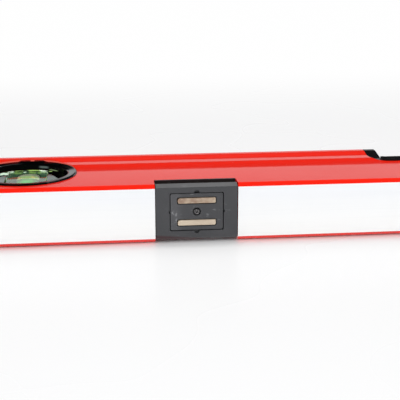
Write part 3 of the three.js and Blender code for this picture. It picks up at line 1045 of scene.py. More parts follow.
    def dress(self, finish: Finish, chosen: Callable[[bmesh.types.BMFace], bool] | None = None) -> "Blank":
        """Give faces a finish, over what they have.

        Args:
            finish: the finish.
            chosen: which faces take it; all of them where it is left out.

        Returns:
            This blank.
        """
        for face in self.bm.faces:
            if chosen is None or chosen(face):
                face.material_index = len(self.finishes)
        self.finishes.append(finish)
        return self

    def piece(
        self, name: str, slot: Slot, replaces: Sequence[str] = (), edge: float = 0.0, body: str = ROOT
    ) -> None:
        """Turn the blank into a finished piece of the level.

        Args:
            name: the piece's name.
            slot: the record's material slot; not used.
            replaces: CAD nodes it stands for.
            edge: width of the broken edges.
            body: CAD body it rides on.
        """
        mesh = bpy.data.meshes.new(name)
        self.bm.to_mesh(mesh)
        self.bm.free()
        for finish in self.finishes:
            mesh.materials.append(finish.material())
        mesh.shade_smooth()
        mesh.set_sharp_from_angle(angle=SHARP_FROM)
        made = linked(name, mesh)
        if edge:
            broken = made.modifiers.new("broken_edges", "BEVEL")
            broken.width = edge * MM
            broken.segments = 2
            broken.limit_method = "ANGLE"
            broken.angle_limit = BROKEN_FROM
        even = made.modifiers.new("even_shading", "WEIGHTED_NORMAL")
        even.keep_sharp = True
        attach(made, body)
        if replaces:
            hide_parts(*replaces)
        log.info("%s: %d faces on %s", name, len(mesh.polygons), body)

    def stand_for(self, node: str, word: str, slot: Slot, edge: float = 0.0, body: str = ROOT) -> None:
        """Turn the blank into a piece that replaces one CAD node and is named after it."""
        self.piece(f"{node}_{word}", slot, [node], edge, body)


# Sub-assemblies


@dataclass(frozen=True)
class Layout:
    """Places that the sub-assemblies share, in millimetres."""

    half_length: float = 250.0
    face_y: float = -25.0
    edge_y: float = 25.0
    web_low: float = 0.7
    web_top: float = 24.7
    flange_top: float = 26.65
    flange_turns: tuple[float, ...] = (30.0, 35.7, 41.8, 45.9)
    step_rise: float = 0.95
    step_fall: float = 0.35
    step_round: float = 0.8
    foot_round: float = 3.2
    chamfer: float = 1.5
    hollow_y: Span = (3.4, 47.4)
    hollow_z: Span = (3.1, 22.3)
    hollow_round: float = 1.2
    notch_half: float = 34.0
    notch_floor: float = 31.4
    notch_round: float = 8.0
    middle_z: float = 12.7
    magnet_x: float = 116.0
    plumb_y: float = 0.8
    gap: float = 0.3
    beyond: float = 6.0

    def from_face(self, distance: float) -> float:
        """Y of a distance from the measuring face."""
        return self.face_y + distance

    def sunk(self, depth: float) -> Span:
        """Y that a cutter sunk from the measuring face starts and ends at."""
        return self.face_y - self.beyond, self.from_face(depth)

    @property
    def through(self) -> Span:
        """Heights that a cutter through the whole level starts and ends at."""
        return -self.beyond, self.flange_top + self.beyond

    def section(self, inset: float = 0.0, rim: float = 0.9) -> list[Corner]:
        """Lay out the stepped outer section in (y, z).

        Args:
            inset: how far it is shrunk.
            rim: rounding along the top edge.

        Returns:
            Its corners.
        """
        face, edge = self.face_y + inset, self.edge_y - inset
        low, top, over = self.web_low + inset, self.web_top - inset, self.flange_top - inset
        foot, first, second, strip = (self.from_face(distance) for distance in self.flange_turns)
        corner, sweep, cut = self.step_round, self.foot_round, self.chamfer
        return [
            (face, low + cut, 0),
            (face + cut, low, 0),
            (foot, low, sweep),
            (first, low - self.step_fall, corner),
            (second, low - self.step_fall, corner),
            (strip, inset, corner),
            (edge, inset, rim),
            (edge, over, rim),
            (strip, over, corner),
            (second, top + self.step_rise, corner),
            (first, top + self.step_rise, corner),
            (foot, top, sweep),
            (face + cut, top, 0),
            (face, top - cut, 0),
        ]

    def cavity(self, inset: float = 0.0) -> list[Corner]:
        """Lay out the section of the hollow in (y, z).

        Args:
            inset: how far it is shrunk.

        Returns:
            Its corners.
        """
        (near, far), (low, high) = self.hollow_y, self.hollow_z
        ends = self.from_face(near + inset), self.from_face(far - inset)
        return rectangle(*ends, low + inset, high - inset, self.hollow_round)

    def top_cut(self, inset: float = 0.0) -> Blank:
        """Shape the cutter of the top vial's notch.

        Args:
            inset: how far it is shrunk.

        Returns:
            The cutter.
        """
        half, floor = self.notch_half - inset, self.from_face(self.notch_floor + inset)
        rounds = (self.notch_round, self.notch_round, 0, 0)
        outline = rectangle(-half, half, floor, self.edge_y + self.beyond)
        corners = [(u, v, radius) for (u, v, _), radius in zip(outline, rounds)]
        return Blank.drawn(corners, Axis.UP, *self.through, facets=12)


@dataclass
class BoxBody:
    """Hollow aluminium extrusion with its milled face and the seats cut through it."""

    layout: Layout
    cap_plate: float = 5.0
    barrel_hole: float = 19.3
    seat_radius: float = 21.35
    seat_depth: float = 1.0
    notch_half: float = 16.9
    notch_depth: float = 8.3
    notch_round: float = 1.0

    def build(self) -> None:
        """Draw the section out and cut the seats."""
        plan = self.layout
        end = plan.half_length - self.cap_plate - plan.gap
        body = Blank.drawn(plan.section(), Axis.ALONG, -end, end)
        hollow = Blank.drawn(plan.cavity(), Axis.ALONG, -end - plan.beyond, end + plan.beyond)
        body.cut(hollow, plan.top_cut())
        for side in Side:
            body.cut(*self._seats(side))
        body.dress(RedCoat()).dress(MilledFace(), self._is_milled)
        body.dress(RawExtrusion(), self._is_inside).dress(SeatCoatPaintedLight(), self._is_seat)
        body.piece("body_extrusion", Slot.RED, ["box_profile"])

    def _seats(self, side: Side) -> list[Blank]:
        """Shape the cutters of one side's vial seat and magnet notch.

        Args:
            side: the side.

        Returns:
            The cutters.
        """
        plan = self.layout
        centre = (side.value * PLUMB_X, plan.plumb_y, 0)
        under, over = plan.through
        middle, half = side.value * plan.magnet_x, self.notch_half
        back = plan.from_face(self.notch_depth)
        notch = rectangle(middle - half, middle + half, plan.face_y - plan.beyond, back, self.notch_round)
        return [
            Blank.rod(self.barrel_hole, (under, over), Axis.UP, centre),
            Blank.rod(self.seat_radius, (plan.web_top - self.seat_depth, over), Axis.UP, centre),
            Blank.rod(self.seat_radius, (under, plan.web_low + self.seat_depth), Axis.UP, centre),
            Blank.drawn(notch, Axis.UP, under, over),
        ]

    def _is_milled(self, face: bmesh.types.BMFace) -> bool:
        """Whether a face lies in the measuring plane."""
        return face.normal.y < -0.999 and abs(middle_of(face).y - self.layout.face_y) < SLACK

    def _is_seat(self, face: bmesh.types.BMFace) -> bool:
        """Whether a face is the upright wall of a vial's seat."""
        reach = math.hypot(abs(middle_of(face).x) - PLUMB_X, middle_of(face).y - self.layout.plumb_y)
        return abs(reach - self.seat_radius) < SLACK * 5 and abs(face.normal.z) < 0.1

    def _is_inside(self, face: bmesh.types.BMFace) -> bool:
        """Tell the lining of the hollow.

        Args:
            face: any face.

        Returns:
            Whether it belongs to the lining.
        """
        spot = middle_of(face)
        near, far = (self.layout.from_face(distance) for distance in self.layout.hollow_y)
        low, high = self.layout.hollow_z
        inside = near - SLACK < spot.y < far + SLACK and low - SLACK < spot.z < high + SLACK
        return inside and abs(face.normal.x) < SLACK


@dataclass
class Handed:
    """Sub-assembly that either half of the level has one of."""

    layout: Layout
    side: Side

    def node(self, word: str) -> str:
        """Name of a CAD node on this side."""
        return f"{word}_{self.side.word}"


@dataclass
class EndCap(Handed):
    """Moulded cap over one end, with a hollow plug and a sunk panel."""

    plate: float = 5.0
    plate_inset: float = 0.25
    plate_rim: float = 1.6
    plug: float = 12.0
    wall: float = 2.0
    panel_margin: float = 2.85
    panel_corner: float = 1.2
    panel_sink: float = 0.5

    def _drawn(self, corners: Sequence[Corner], start: float, stop: float) -> Blank:
        """Section drawn out between two distances from the middle of the level."""
        return Blank.drawn(corners, Axis.ALONG, *sorted((self.side.value * start, self.side.value * stop)))

    def build(self) -> None:
        """Mould the plate and its plug."""
        plan, outer = self.layout, self.layout.half_length
        inner, tip = outer - self.plate, outer - self.plate - self.plug
        plate = self._drawn(plan.section(self.plate_inset, self.plate_rim), outer, inner)
        sunk = plan.section(self.panel_margin, self.panel_corner)
        panel = self._drawn(sunk, outer - self.panel_sink, outer + plan.beyond)
        plug = self._drawn(plan.cavity(plan.gap), (outer + inner) / 2, tip)
        hollow = self._drawn(plan.cavity(plan.gap + self.wall), inner, tip - plan.beyond)
        plate.add(plug).cut(hollow, panel)
        black, worn = (0.012, 0.012, 0.013), (0.03, 0.03, 0.032)
        plate.dress(MouldedBlack(title="cap_plastic", colour=black, layers=handled(worn, 0.2)))
        plate.stand_for(self.node("end_cap"), "moulding", Slot.CAP, edge=0.35)


@dataclass
class MagnetUnit(Handed):
    """Magnet unit let into the measuring edge: housing, plate, two bars, magnet and screw.

    The outlines are (distance from the measuring face, rise over the web's lower or upper side).
    """

    width: float = 33.2
    lower_outline: tuple[Span, ...] = ((0.0, 1.75), (0.7, 0.95), (7.1, 0.95), (7.1, 0.3), (8.0, 0.3))
    upper_outline: tuple[Span, ...] = (
        (8.0, 0.2),
        (7.1, 0.2),
        (7.1, -1.25),
        (3.4, -1.25),
        (3.0, -0.2),
        (0.0, -1.25),
    )
    shelf_y: Span = (3.0, 7.15)
    shelf_drop: float = 1.4
    centre_z: float = 13.2
    plate_width: float = 21.414
    plate_height: float = 15.3
    plate_corner: float = 0.7
    plate_face: float = 0.2
    plate_back: float = 3.2
    pocket_floor: float = 7.5
    bar_length: float = 15.504
    bar_height: float = 2.295
    bar_spacing: float = 9.226
    bar_corner: float = 0.7
    bar_rounds: tuple[float, ...] = (0.7, 0.5, 0.4, 1.0)
    bar_depths: Span = (0.1, 7.2)
    key_radius: float = 1.1
    end_key_radius: float = 0.5
    key_depth: float = 1.4
    screw_radius: float = 1.35
    crown_radius: float = 1.1
    crown_rise: float = 0.3
    shank_radius: float = 0.8
    screw_depths: Triple = (0.2, 1.3, 7.2)
    seat_depth: float = 1.4
    socket_radius: float = 0.6
    socket_depth: float = 0.9

    @property
    def centre(self) -> Triple:
        """Middle of the unit, on the axis of its screw."""
        return (self.side.value * self.layout.magnet_x, 0, self.centre_z)

    def build(self) -> None:
        """Make each piece of the unit."""
        self._housing()
        self._plate()
        for row, word in ((1, "upper"), (-1, "lower")):
            self._bar(row, word)
        self._screw()
        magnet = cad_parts[self.node("magnet")]
        magnet.data.materials.clear()
        magnet.data.materials.append(Ferrite().material())

    def _panel(self, size: Span, z: float, corner: float, near: float, far: float) -> Blank:
        """Rounded rectangle between two depths from the measuring face."""
        outline = about(self.centre[0], z, size[0] / 2, size[1] / 2, corner)
        return Blank.drawn(outline, Axis.ACROSS, self.layout.from_face(near), self.layout.from_face(far))

    def _bore(self, radius: float, depth: float, off: Span = (0, 0), steps: int = SOFT) -> Blank:
        """Cutter of a round hole sunk from the measuring face, off the middle of the unit."""
        place = Vector(self.centre) + Vector((off[0], 0, off[1]))
        return Blank.rod(radius, self.layout.sunk(depth), Axis.ACROSS, place, steps)

    def _housing(self) -> None:
        """Chamfered block with a sunk shelf behind it, a rear rim, a pocket and keys for the plate."""
        plan, half = self.layout, self.width / 2
        corners = [(plan.from_face(y), plan.web_low + rise, 0) for y, rise in self.lower_outline]
        corners += [(plan.from_face(y), plan.web_top + rise, 0) for y, rise in self.upper_outline]
        body = Blank.drawn(corners, Axis.ALONG, self.centre[0] - half, self.centre[0] + half)
        size = (self.plate_width + plan.gap * 2, self.plate_height + plan.gap * 2)
        body.cut(self._panel(size, self.centre_z, self.plate_corner, -plan.beyond, self.pocket_floor))
        along, up = size[0] / 2, size[1] / 2
        for way in (1, -1):
            body.cut(self._bore(self.key_radius, self.key_depth, (0, way * up)))
        for way in (-1, 1):
            body.cut(self._bore(self.end_key_radius, self.key_depth, (way * along, 0)))
        # Painted shade: the sunk shelf takes a darker, reddish copy of the housing plastic.
        worn = handled((0.020, 0.014, 0.014))
        shade = MouldedBlack(title="shelf_painted_shade", colour=(0.012, 0.008, 0.008), layers=worn)
        body.dress(HousingPlastic()).dress(shade, self._is_shelf)
        body.stand_for(self.node("magnet_housing"), "moulding", Slot.HOUSING, edge=0.14)

    def _is_shelf(self, face: bmesh.types.BMFace) -> bool:
        """Tell the sunk shelf behind the chamfer.

        Args:
            face: any face of the housing.

        Returns:
            Whether it belongs to the shelf.
        """
        spot = middle_of(face) - Vector((0, self.layout.face_y, self.layout.web_top))
        near, far = self.shelf_y
        return near < spot.y < far and spot.z > -self.shelf_drop and abs(face.normal.x) < 0.1

    def _plate(self) -> None:
        """Face plate, slotted for the bars and bored for the screw."""
        plan = self.layout
        size = (self.plate_width, self.plate_height)
        body = self._panel(size, self.centre_z, self.plate_corner, self.plate_face, self.plate_back)
        slot = (self.bar_length + plan.gap * 2, self.bar_height + plan.gap * 2)
        for row in (-1, 1):
            z = self.centre_z + row * self.bar_spacing / 2
            body.cut(self._panel(slot, z, self.bar_corner, -plan.beyond, plan.beyond))
        body.cut(self._bore(self.screw_radius + plan.gap, self.plate_face + self.seat_depth))
        body.cut(self._bore(self.crown_radius, plan.beyond))
        body.dress(PlatePlastic()).stand_for(self.node("insert_plate"), "moulding", Slot.HOUSING, edge=0.1)

    def _bar(self, row: int, word: str) -> None:
        """Grind one pole bar flush with the face.

        Args:
            row: 1 for the upper bar, -1 for the lower.
            word: the row's name.
        """
        z = self.centre_z + row * self.bar_spacing / 2
        outline = about(self.centre[0], z, self.bar_length / 2, self.bar_height / 2)
        corners = [(u, v, radius) for (u, v, _), radius in zip(outline, self.bar_rounds)]
        body = Blank.drawn(corners, Axis.ACROSS, *(self.layout.from_face(depth) for depth in self.bar_depths))
        body.dress(PoleSteel()).stand_for(self.node(f"pole_bar_{word}"), "ground", Slot.POLE, edge=0.15)

    def _screw(self) -> None:
        """Domed screw with a hexagon socket."""
        top, under, tip = (self.layout.from_face(depth) for depth in self.screw_depths)
        section = [
            (0, top, 0),
            (self.crown_radius, top, 0.35),
            (self.screw_radius, top + self.crown_rise, 0.1),
            (self.screw_radius, under, 0.1),
            (self.shank_radius, under, 0),
            (self.shank_radius, tip, 0.2),
            (0, tip, 0),
        ]
        body = Blank.turned(section, Axis.ACROSS, self.centre, SOFT)
        body.cut(self._bore(self.socket_radius, self.socket_depth, steps=6)).dress(DarkSteel())
        body.stand_for(self.node("insert_screw"), "head", Slot.SCREW)


@dataclass
class Vial:
    """Filled bore of a clear block: liquid, bubble, plugs and reading lines."""

    axis: Axis
    centre: Triple
    bore: float
    fill_half: float
    block_half: float
    bubble_radius: float
    bubble_half: float
    bubble_lift: float
    stem: str
    suffix: str
    spirit: Finish
    air: Finish
    plug_names: tuple[str, str]
    gap: float = 0.3
    line_width: float = 0.45
    line_room: float = 1.0
    line_slack: float = 0.05
    fill_round: float = 0.6
    plug_round: float = 0.5

    def node(self, word: str) -> str:
        """Name of one of the vial's CAD nodes."""
        return f"{self.stem}_{word}{self.suffix}"

    def bored(self, block: Blank) -> Blank:
        """Bore a clear block for this vial and dress it.

        Args:
            block: the solid block.

        Returns:
            The same block.
        """
        half = self.block_half + 2
        block.cut(Blank.rod(self.bore, (-half, half), self.axis, self.centre, BORED))
        return block.dress(ClearBlock()).dress(WettedWall(), self._is_bore)

    def _is_bore(self, face: bmesh.types.BMFace) -> bool:
        """Tell the wall of the bore.

        Args:
            face: any face of the block.

        Returns:
            Whether it belongs to the wall.
        """
        way = self.axis.direction
        off = middle_of(face) - Vector(self.centre)
        return (off - way * off.dot(way)).length < self.bore + SLACK and abs(face.normal.dot(way)) < 0.5

    def build(self) -> None:
        """Fill the bore."""
        radius = self.bore - self.gap
        ends = (-self.fill_half, self.fill_half)
        fill = Blank.rod(radius, ends, self.axis, self.centre, BORED, self.fill_round)
        fill.dress(self.spirit).stand_for(self.node("liquid"), "filling", Slot.LIQUID)
        self._bubble()
        for sign, word in zip((-1, 1), self.plug_names):
            self._plug(sign, word, radius)
            self._line(sign, word, radius)

    def _bubble(self) -> None:
        """Bubble that floats against the upper wall."""
        high, radius, curve = self.bubble_half, self.bubble_radius, self.bubble_radius * 0.98
        section = [(0, -high, 0), (radius, -high, curve), (radius, high, curve), (0, high, 0)]
        x, y, z = self.centre
        body = Blank.turned(section, self.axis, (x, y, z + self.bubble_lift), steps=64, facets=10)
        name = self.node("bubble")
        body.dress(self.air).stand_for(name, "air", Slot.BUBBLE, body=f"{name}_body")

    def _plug(self, sign: int, word: str, radius: float) -> None:
        """Close one end of the bore.

        Args:
            sign: which end.
            word: the end's name.
            radius: radius of the plug.
        """
        ends = (sign * (self.fill_half + self.gap), sign * self.block_half)
        body = Blank.rod(radius, ends, self.axis, self.centre, BORED, self.plug_round)
        body.dress(SealPlastic()).stand_for(self.node(f"plug_{word}"), "seal", Slot.SEAL)

    def _line(self, sign: int, word: str, radius: float) -> None:
        """Draw a reading line round the bore, just beyond the bubble.

        Args:
            sign: which end.
            word: the end's name.
            radius: radius of the filling.
        """
        middle = sign * (self.bubble_half + self.line_room)
        low, high = middle - self.line_width / 2, middle + self.line_width / 2
        section = rectangle(radius + self.line_slack, self.bore - self.line_slack, low, high)
        body = Blank.turned(section, self.axis, self.centre, BORED)
        body.dress(LineInk()).piece(self.node(f"line_{word}"), Slot.GLOSS)


@dataclass
class PlumbUnit(Handed):
    """Plumb vial across the level in its black barrel, with a bezel on either face."""

    bezel_outer: float = 21.05
    bezel_face: float = 17.9
    bezel_inner: float = 17.3
    bezel_rise: float = 12.7
    barrel: float = 19.0
    flange: float = 1.4
    sleeve: float = 1.4
    dish: float = 0.3
    lip: float = 0.5
    flare: float = 0.25
    lug_spans: tuple[Span, ...] = ((-6.4, 0.8), (2.1, 9.2))
    lug_rise: float = 0.45
    lug_slope: float = 3.0
    lug_y: Span = (18.6, 24.0)
    notch_radius: float = 1.3
    notch_depth: float = 1.1
    notch_reach: float = 19.2
    notch_turns: tuple[float, ...] = (41.0, 86.1, 139.0)
    shade_turns: tuple[Span, ...] = ((16.0, 130.0), (-140.0, -64.0))
    low: float = 3.1
    high: float = 22.3
    fan_shoulder: Span = (0.59, 0.35)
    fan_waist: Span = (0.89, 0.4)
    fan_round: float = 0.6
    rest_start: float = 0.76
    shelf_rise: float = 0.5
    block_width: float = 16.78
    block_length: float = 30.0
    block_half_height: float = 9.4
    block_corner: float = 1.6
    bore: float = 5.093

    @property
    def centre(self) -> Triple:
        """Middle of the barrel."""
        plan = self.layout
        return (self.side.value * PLUMB_X, plan.plumb_y, plan.middle_z)

    def build(self) -> None:
        """Make each piece of the unit."""
        for facing, word in ((1, "upper"), (-1, "lower")):
            self._bezel(facing, word)
        self._holder()
        vial = Vial(
            axis=Axis.ACROSS,
            centre=self.centre,
            bore=self.bore,
            fill_half=11.2,
            block_half=self.block_length / 2,
            bubble_radius=2.0,
            bubble_half=4.6,
            bubble_lift=2.64,
            stem="plumb",
            suffix=f"_{self.side.word}",
            spirit=PlumbLiquid(),
            air=AirBubble(),
            plug_names=("near", "far"),
        )
        self._block(vial)
        vial.build()

    def _bezel(self, facing: int, word: str) -> None:
        """Turn a dished ring with a rounded rim, key notches and a sleeve into the barrel's hole.

        Args:
            facing: 1 for the upper bezel, -1 for the lower.
            word: the bezel's name.
        """
        face, inner, outer = self.bezel_rise, self.bezel_inner, self.bezel_outer
        under = face - self.flange
        section = [
            (inner, under - self.sleeve, 0.15),
            (self.barrel, under - self.sleeve, 0.15),
            (self.barrel, under, 0),
            (outer + self.flare, under, 0),
            (outer + self.flare, face - 0.6, 0.1),
            (outer - 0.1, face - 0.1, 0.12),
            (outer - self.lip, face, 0.12),
            (self.bezel_face, face - self.dish, 0.35),
            (inner, face - self.dish - self.lip, 0.2),
        ]
        turned = [(radius, height * facing, corner) for radius, height, corner in section]
        body = Blank.turned(turned, Axis.UP, self.centre, steps=160, facets=5)
        x, y, z = self.centre
        ends = (z + facing * (face - self.notch_depth), z + facing * (face + 2))
        for turn in map(math.radians, self.notch_turns):
            place = (x + self.notch_reach * math.cos(turn), y + self.notch_reach * math.sin(turn), 0)
            body.cut(Blank.rod(self.notch_radius, ends, Axis.UP, place, steps=32))
        if facing > 0:
            body.add(*self._lugs(z + face))
        # Painted highlights: a soft pale patch and a lime streak on the bore; painted shade: the bore and the
        # rim sectors in shade_turns take the darker black.
        soft, lime = (0.085, 0.11, 0.10), (0.24, 0.34, 0.16)
        glints = glint(-6.6, 2.6, 23.2, 24.1, soft), glint(-10.8, 2.4, 22.3, 22.9, lime)
        body.dress(GlossBlack()).dress(GlintedBlack(title="bezel_shade", glints=glints), self._is_shaded)
        body.stand_for(self.node(f"plumb_bezel_{word}"), "ring", Slot.GLOSS)

    def _is_shaded(self, face: bmesh.types.BMFace) -> bool:
        """Tell the bezel's bore and the parts of its rim that take painted shade.

        Args:
            face: any face of the bezel.

        Returns:
            Whether it belongs to them.
        """
        off = (middle_of(face) - Vector(self.centre)).xy
        turn = math.degrees(math.atan2(off.y, off.x))
        return off.length < self.bezel_inner + 0.1 or any(low < turn < high for low, high in self.shade_turns)

    def _lugs(self, face_z: float) -> list[Blank]:
        """Shape the finger lugs on the far rim, either side of the middle notch.

        Args:
            face_z: height of the bezel's face.

        Returns:
            The lugs, trimmed to the rim.
        """
        x, y, _ = self.centre
        low, high = face_z - 0.6, face_z + self.lug_rise
        made = []
        for near, far in self.lug_spans:
            rise, fall = (self.lug_slope, 0.2) if near < 0 else (0.2, self.lug_slope)
            start, stop = near + rise, far - fall
            outline = [(x + near, low, 0), (x + far, low, 0), (x + stop, high, 0.25), (x + start, high, 0.25)]
            lug = Blank.drawn(outline, Axis.ACROSS, *(y + reach for reach in self.lug_y))
            made.append(lug.keep(Blank.rod(self.bezel_outer - 0.12, (low - 1, high + 1), Axis.UP, (x, y, 0))))
        return made

    def _holder(self) -> None:
        """Barrel with a fan-shaped shelf on the near side and a rest on the far side."""
        x, y, _ = self.centre
        inner, outer, gap = self.bezel_inner, self.barrel, self.layout.gap
        place = (x, y, 0)
        shell = Blank.turned(rectangle(inner, outer, self.low, self.high, 0.2), Axis.UP, place)
        shoulder_x, shoulder_y = (inner * share for share in self.fan_shoulder)
        waist_x, waist_y = (inner * share for share in self.fan_waist)
        curve = self.fan_round
        turns = [(shoulder_x, shoulder_y, curve), (waist_x, -waist_y, curve), (outer, -outer, 0)]
        fan = [(x - across, y + up, corner) for across, up, corner in turns]
        fan += [(x + across, y + up, corner) for across, up, corner in reversed(turns)]
        low, high = self.low + 0.1, self.high - 0.1
        shelf = Blank.drawn(fan, Axis.UP, low, high + self.shelf_rise)
        stop = rectangle(x - shoulder_x, x + shoulder_x, y + inner * self.rest_start, y + outer)
        shelf.add(Blank.drawn(stop, Axis.UP, low, high))
        shelf.keep(Blank.rod(outer - gap, (low - 1, high + 2), Axis.UP, place))
        slot = about(x, y, self.block_width / 2 + gap, self.block_length / 2 + gap, self.block_corner)
        shell.add(shelf).cut(Blank.drawn(slot, Axis.UP, self.low - 2, self.high + 2))
        # Painted highlight: a pale glint on the barrel's far wall, which is also a darker black as painted
        # shade.
        glints = (glint(10.3, 2.6, 21.2, 22.1, (0.72, 0.90, 0.72)),)
        # Painted sheen: the top of the shelf is teal in place of the light it reflects.
        teal, haze = (0.080, 0.130, 0.118), (0.12, 0.19, 0.172)
        sheen = GlossBlack(title="shelf_painted_sheen", colour=teal, layers=wiped(haze), roughness=0.12)
        # Painted glow and painted highlights on the top of the far rest.
        spots = lit_edge((-6.4, 2.2), (7.6, 1.6))
        glow = EdgeGlow(title="rest_glow", colour=(0.02, 0.04, 0.02), layers=spots)
        shell.dress(GlintedBlack(title="holder_painted_shade", glints=glints))
        shell.dress(sheen, self._is_shelf).dress(glow, self._is_rest)
        shell.stand_for(self.node("plumb_holder"), "barrel", Slot.GLOSS, edge=0.15)

    def _is_shelf(self, face: bmesh.types.BMFace) -> bool:
        """Whether a face is the top of the fan-shaped shelf."""
        return face.normal.z > 0.9 and middle_of(face).z > self.high + 0.35

    def _is_rest(self, face: bmesh.types.BMFace) -> bool:
        """Whether a face is the top of the far rest, which is painted with a glow and highlights from the
        block.
        """
        level = face.normal.z > 0.9 and abs(middle_of(face).z - self.high + 0.1) < SLACK * 3
        return level and middle_of(face).y > self.centre[1] + self.block_length / 2

    def _block(self, vial: Vial) -> None:
        """Shape the clear block.

        Args:
            vial: the vial that it is bored for.
        """
        x, y, z = self.centre
        half_z = self.block_half_height
        shape = about(x, y, self.block_width / 2, self.block_length / 2, self.block_corner)
        body = vial.bored(Blank.drawn(shape, Axis.UP, z - half_z, z + half_z))
        # Painted light: a dim teal glow on the underside, and a painted glow with highlights on the far end.
        body.dress(PaintedLightFoot(), lambda face: face.normal.z < -0.9 and middle_of(face).z < z - half_z + 0.1)
        body.dress(EdgeGlow(), lambda face: face.normal.y > 0.7)
        body.stand_for(self.node("plumb_block"), "clear", Slot.CLEAR, edge=0.3)


@dataclass
class TopVial:
    """Vial read through the top edge: black frame, clear block and its filling.

    Section and rim of the frame are (distance from the measuring face, height, rounding).
    """

    layout: Layout
    post_inner: float = 28.7
    floor: float = 35.8
    floor_corner: float = 1.5
    section: tuple[Corner, ...] = (
        (30.0, 0.85, 0),
        (35.7, 0.5, 0.4),
        (41.8, 0.5, 0.6),
        (45.9, 0.15, 0.6),
        (49.85, 0.15, 0.8),
        (49.85, 26.65, 0.8),
        (46.3, 26.65, 0.6),
        (37.6, 24.95, 0.3),
        (30.0, 24.9, 0),
    )
    rim: tuple[Corner, ...] = (
        (30.0, 24.0, 0),
        (36.3, 24.0, 0),
        (36.3, 26.15, 0),
        (35.6, 26.15, 0.15),
        (30.0, 25.2, 0),
    )
    rim_half: float = 29.2
    block_half: float = 29.4
    block_y: Span = (36.4, 48.5)
    block_thickness: float = 13.992
    bore: float = 4.8

    def build(self) -> None:
        """Make each piece of the unit."""
        self._frame()
        plan = self.layout
        vial = Vial(
            axis=Axis.ALONG,
            centre=(0.0, plan.from_face(sum(self.block_y) / 2), plan.middle_z),
            bore=self.bore,
            fill_half=23.6,
            block_half=self.block_half,
            bubble_radius=1.9,
            bubble_half=5.2,
            bubble_lift=2.45,
            stem="top_vial",
            suffix="",
            spirit=GreenLiquid(),
            # Painted light: this bubble glows brighter than the plumb ones.
            air=AirBubble(title="level_bubble", glow=0.5),
            plug_names=("left", "right"),
        )
        near, far = (plan.from_face(distance) for distance in self.block_y)
        thick = self.block_thickness / 2
        shape = rectangle(near, far, plan.middle_z - thick, plan.middle_z + thick, 1.0)
        block = vial.bored(Blank.drawn(shape, Axis.ALONG, -self.block_half, self.block_half))
        block.stand_for("top_vial_block", "clear", Slot.CLEAR, edge=0.2)
        vial.build()

    def _outline(self, corners: Sequence[Corner], half: float) -> Blank:
        """Section drawn out on both sides of the middle of the level."""
        placed = [(self.layout.from_face(y), z, rounding) for y, z, rounding in corners]
        return Blank.drawn(placed, Axis.ALONG, -half, half)

    def _frame(self) -> None:
        """Trough with a post at each end, which follow the steps of the flange."""
        plan = self.layout
        body = self._outline(self.section, plan.notch_half + plan.beyond)
        body.add(self._outline(self.rim, self.rim_half)).keep(plan.top_cut(plan.gap))
        above, inner = plan.edge_y + plan.beyond * 2, self.post_inner
        opening = rectangle(-inner, inner, plan.from_face(self.floor), above, self.floor_corner)
        body.cut(Blank.drawn(opening, Axis.UP, *plan.through, facets=10))
        half, thick = self.block_half + plan.gap, self.block_thickness / 2 + plan.gap
        pocket = rectangle(-half, half, plan.from_face(self.block_y[0] - plan.gap), above)
        body.cut(Blank.drawn(pocket, Axis.UP, plan.middle_z - thick, plan.middle_z + thick))
        body.dress(GlossBlack(title="frame_black", roughness=0.2, ior=1.3))
        body.stand_for("top_vial_frame", "moulding", Slot.GLOSS, edge=0.3)


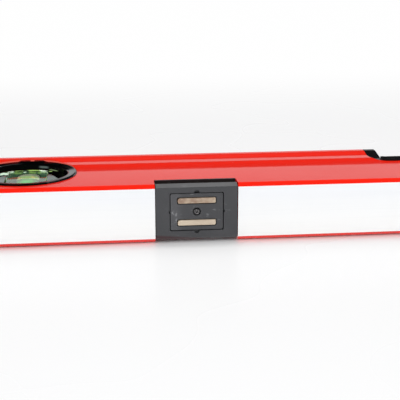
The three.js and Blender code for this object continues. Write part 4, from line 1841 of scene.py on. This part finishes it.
@dataclass
class Studio:
    """Floor, world, lamps and camera; a lamp is its name, place, power, width and whether gloss shows it."""

    floor_reach: float = 14.0
    camera_place: Triple = (-0.1544, -0.3820, 0.1154)
    pitch: float = 15.16
    yaw: float = 6.34
    lens: float = 82.98
    sensor: float = 36.0
    clip: Span = (0.01, 60.0)
    backdrop: float = 0.98
    sky: float = 0.66
    horizon: float = 0.86
    zenith: float = 0.03
    band_span: Span = (0.275, 0.235)
    haze: float = 0.36
    haze_span: Span = (0.05, 0.21)
    lamps: tuple[tuple[str, Triple, float, float, bool], ...] = (
        ("key_lamp", (-0.6, -1.5, 0.9), 13.6, 1.1, False),
        ("fill_lamp", (0.9, -1.2, 0.9), 7.3, 1.2, False),
        ("back_lamp", (0.0, 0.52, 0.88), 2.0, 0.36, True),
    )

    def build(self) -> None:
        """Set the studio up."""
        self._floor()
        self._world()
        for lamp in self.lamps:
            self._lamp(*lamp)
        self._camera()
        bpy.context.scene.view_settings.view_transform = "Standard"

    def _floor(self) -> None:
        """Lay the table top under the level."""
        bm = bmesh.new()
        bmesh.ops.create_grid(bm, x_segments=4, y_segments=4, size=self.floor_reach)
        mesh = bpy.data.meshes.new("studio_floor")
        bm.to_mesh(mesh)
        bm.free()
        mesh.materials.append(StudioFloor().material())
        table = linked("studio_floor", mesh)

    def _world(self) -> None:
        """White behind the object and round the horizon, plain light for the rest."""
        world = bpy.data.worlds.new("studio")
        world.use_nodes = True
        bpy.context.scene.world = world
        book = NodeBook(world.node_tree)
        toward = book.node("ShaderNodeTexCoord", {}, {}, "Generated")
        rise = book.node("ShaderNodeSeparateXYZ", {}, {0: toward}, "Z")
        hazy = self.haze + (1 - self.haze) * rise.step(*self.haze_span)
        shown = self.zenith + (self.horizon - self.zenith) * (rise.step(*self.band_span) * hazy)
        seen, glossy = book.ray("Camera"), book.ray("Glossy")
        plain = glossy * shown + (1 - glossy) * self.sky
        strength = seen * self.backdrop + (1 - seen) * plain
        light = book.node("ShaderNodeBackground", {}, {"Color": full(WHITE), "Strength": strength})
        book.add("ShaderNodeOutputWorld", {}, {"Surface": light})

    def _lamp(self, name: str, place: Triple, power: float, size: float, glossy: bool) -> None:
        """Hang a soft square lamp that looks at the level.

        Args:
            name: its name.
            place: where it hangs.
            power: in watts.
            size: its width.
            glossy: whether reflections show it.
        """
        data = bpy.data.lights.new(name, "AREA")
        data.energy = power
        data.size = size
        lamp = linked(name, data)
        lamp.location = place
        lamp.rotation_euler = (-Vector(place)).to_track_quat("-Z", "Y").to_euler()
        lamp.visible_glossy = glossy

    def _camera(self) -> None:
        """Put the camera where the photograph was taken from."""
        data = bpy.data.cameras.new("camera")
        data.sensor_width = self.sensor
        data.lens = self.lens
        data.clip_start, data.clip_end = self.clip
        camera = linked("camera", data)
        camera.location = self.camera_place
        camera.rotation_euler = (math.radians(90 - self.pitch), 0, math.radians(-self.yaw))
        bpy.context.scene.camera = camera


def main() -> None:
    """Build the studio and every sub-assembly."""
    logging.basicConfig(level=logging.INFO, format="%(name)s %(message)s")
    layout = Layout()
    Studio().build()
    BoxBody(layout).build()
    for side in Side:
        EndCap(layout, side).build()
        MagnetUnit(layout, side).build()
        PlumbUnit(layout, side).build()
    TopVial(layout).build()
    bpy.context.view_layer.update()


if __name__ == "__main__":
    main()
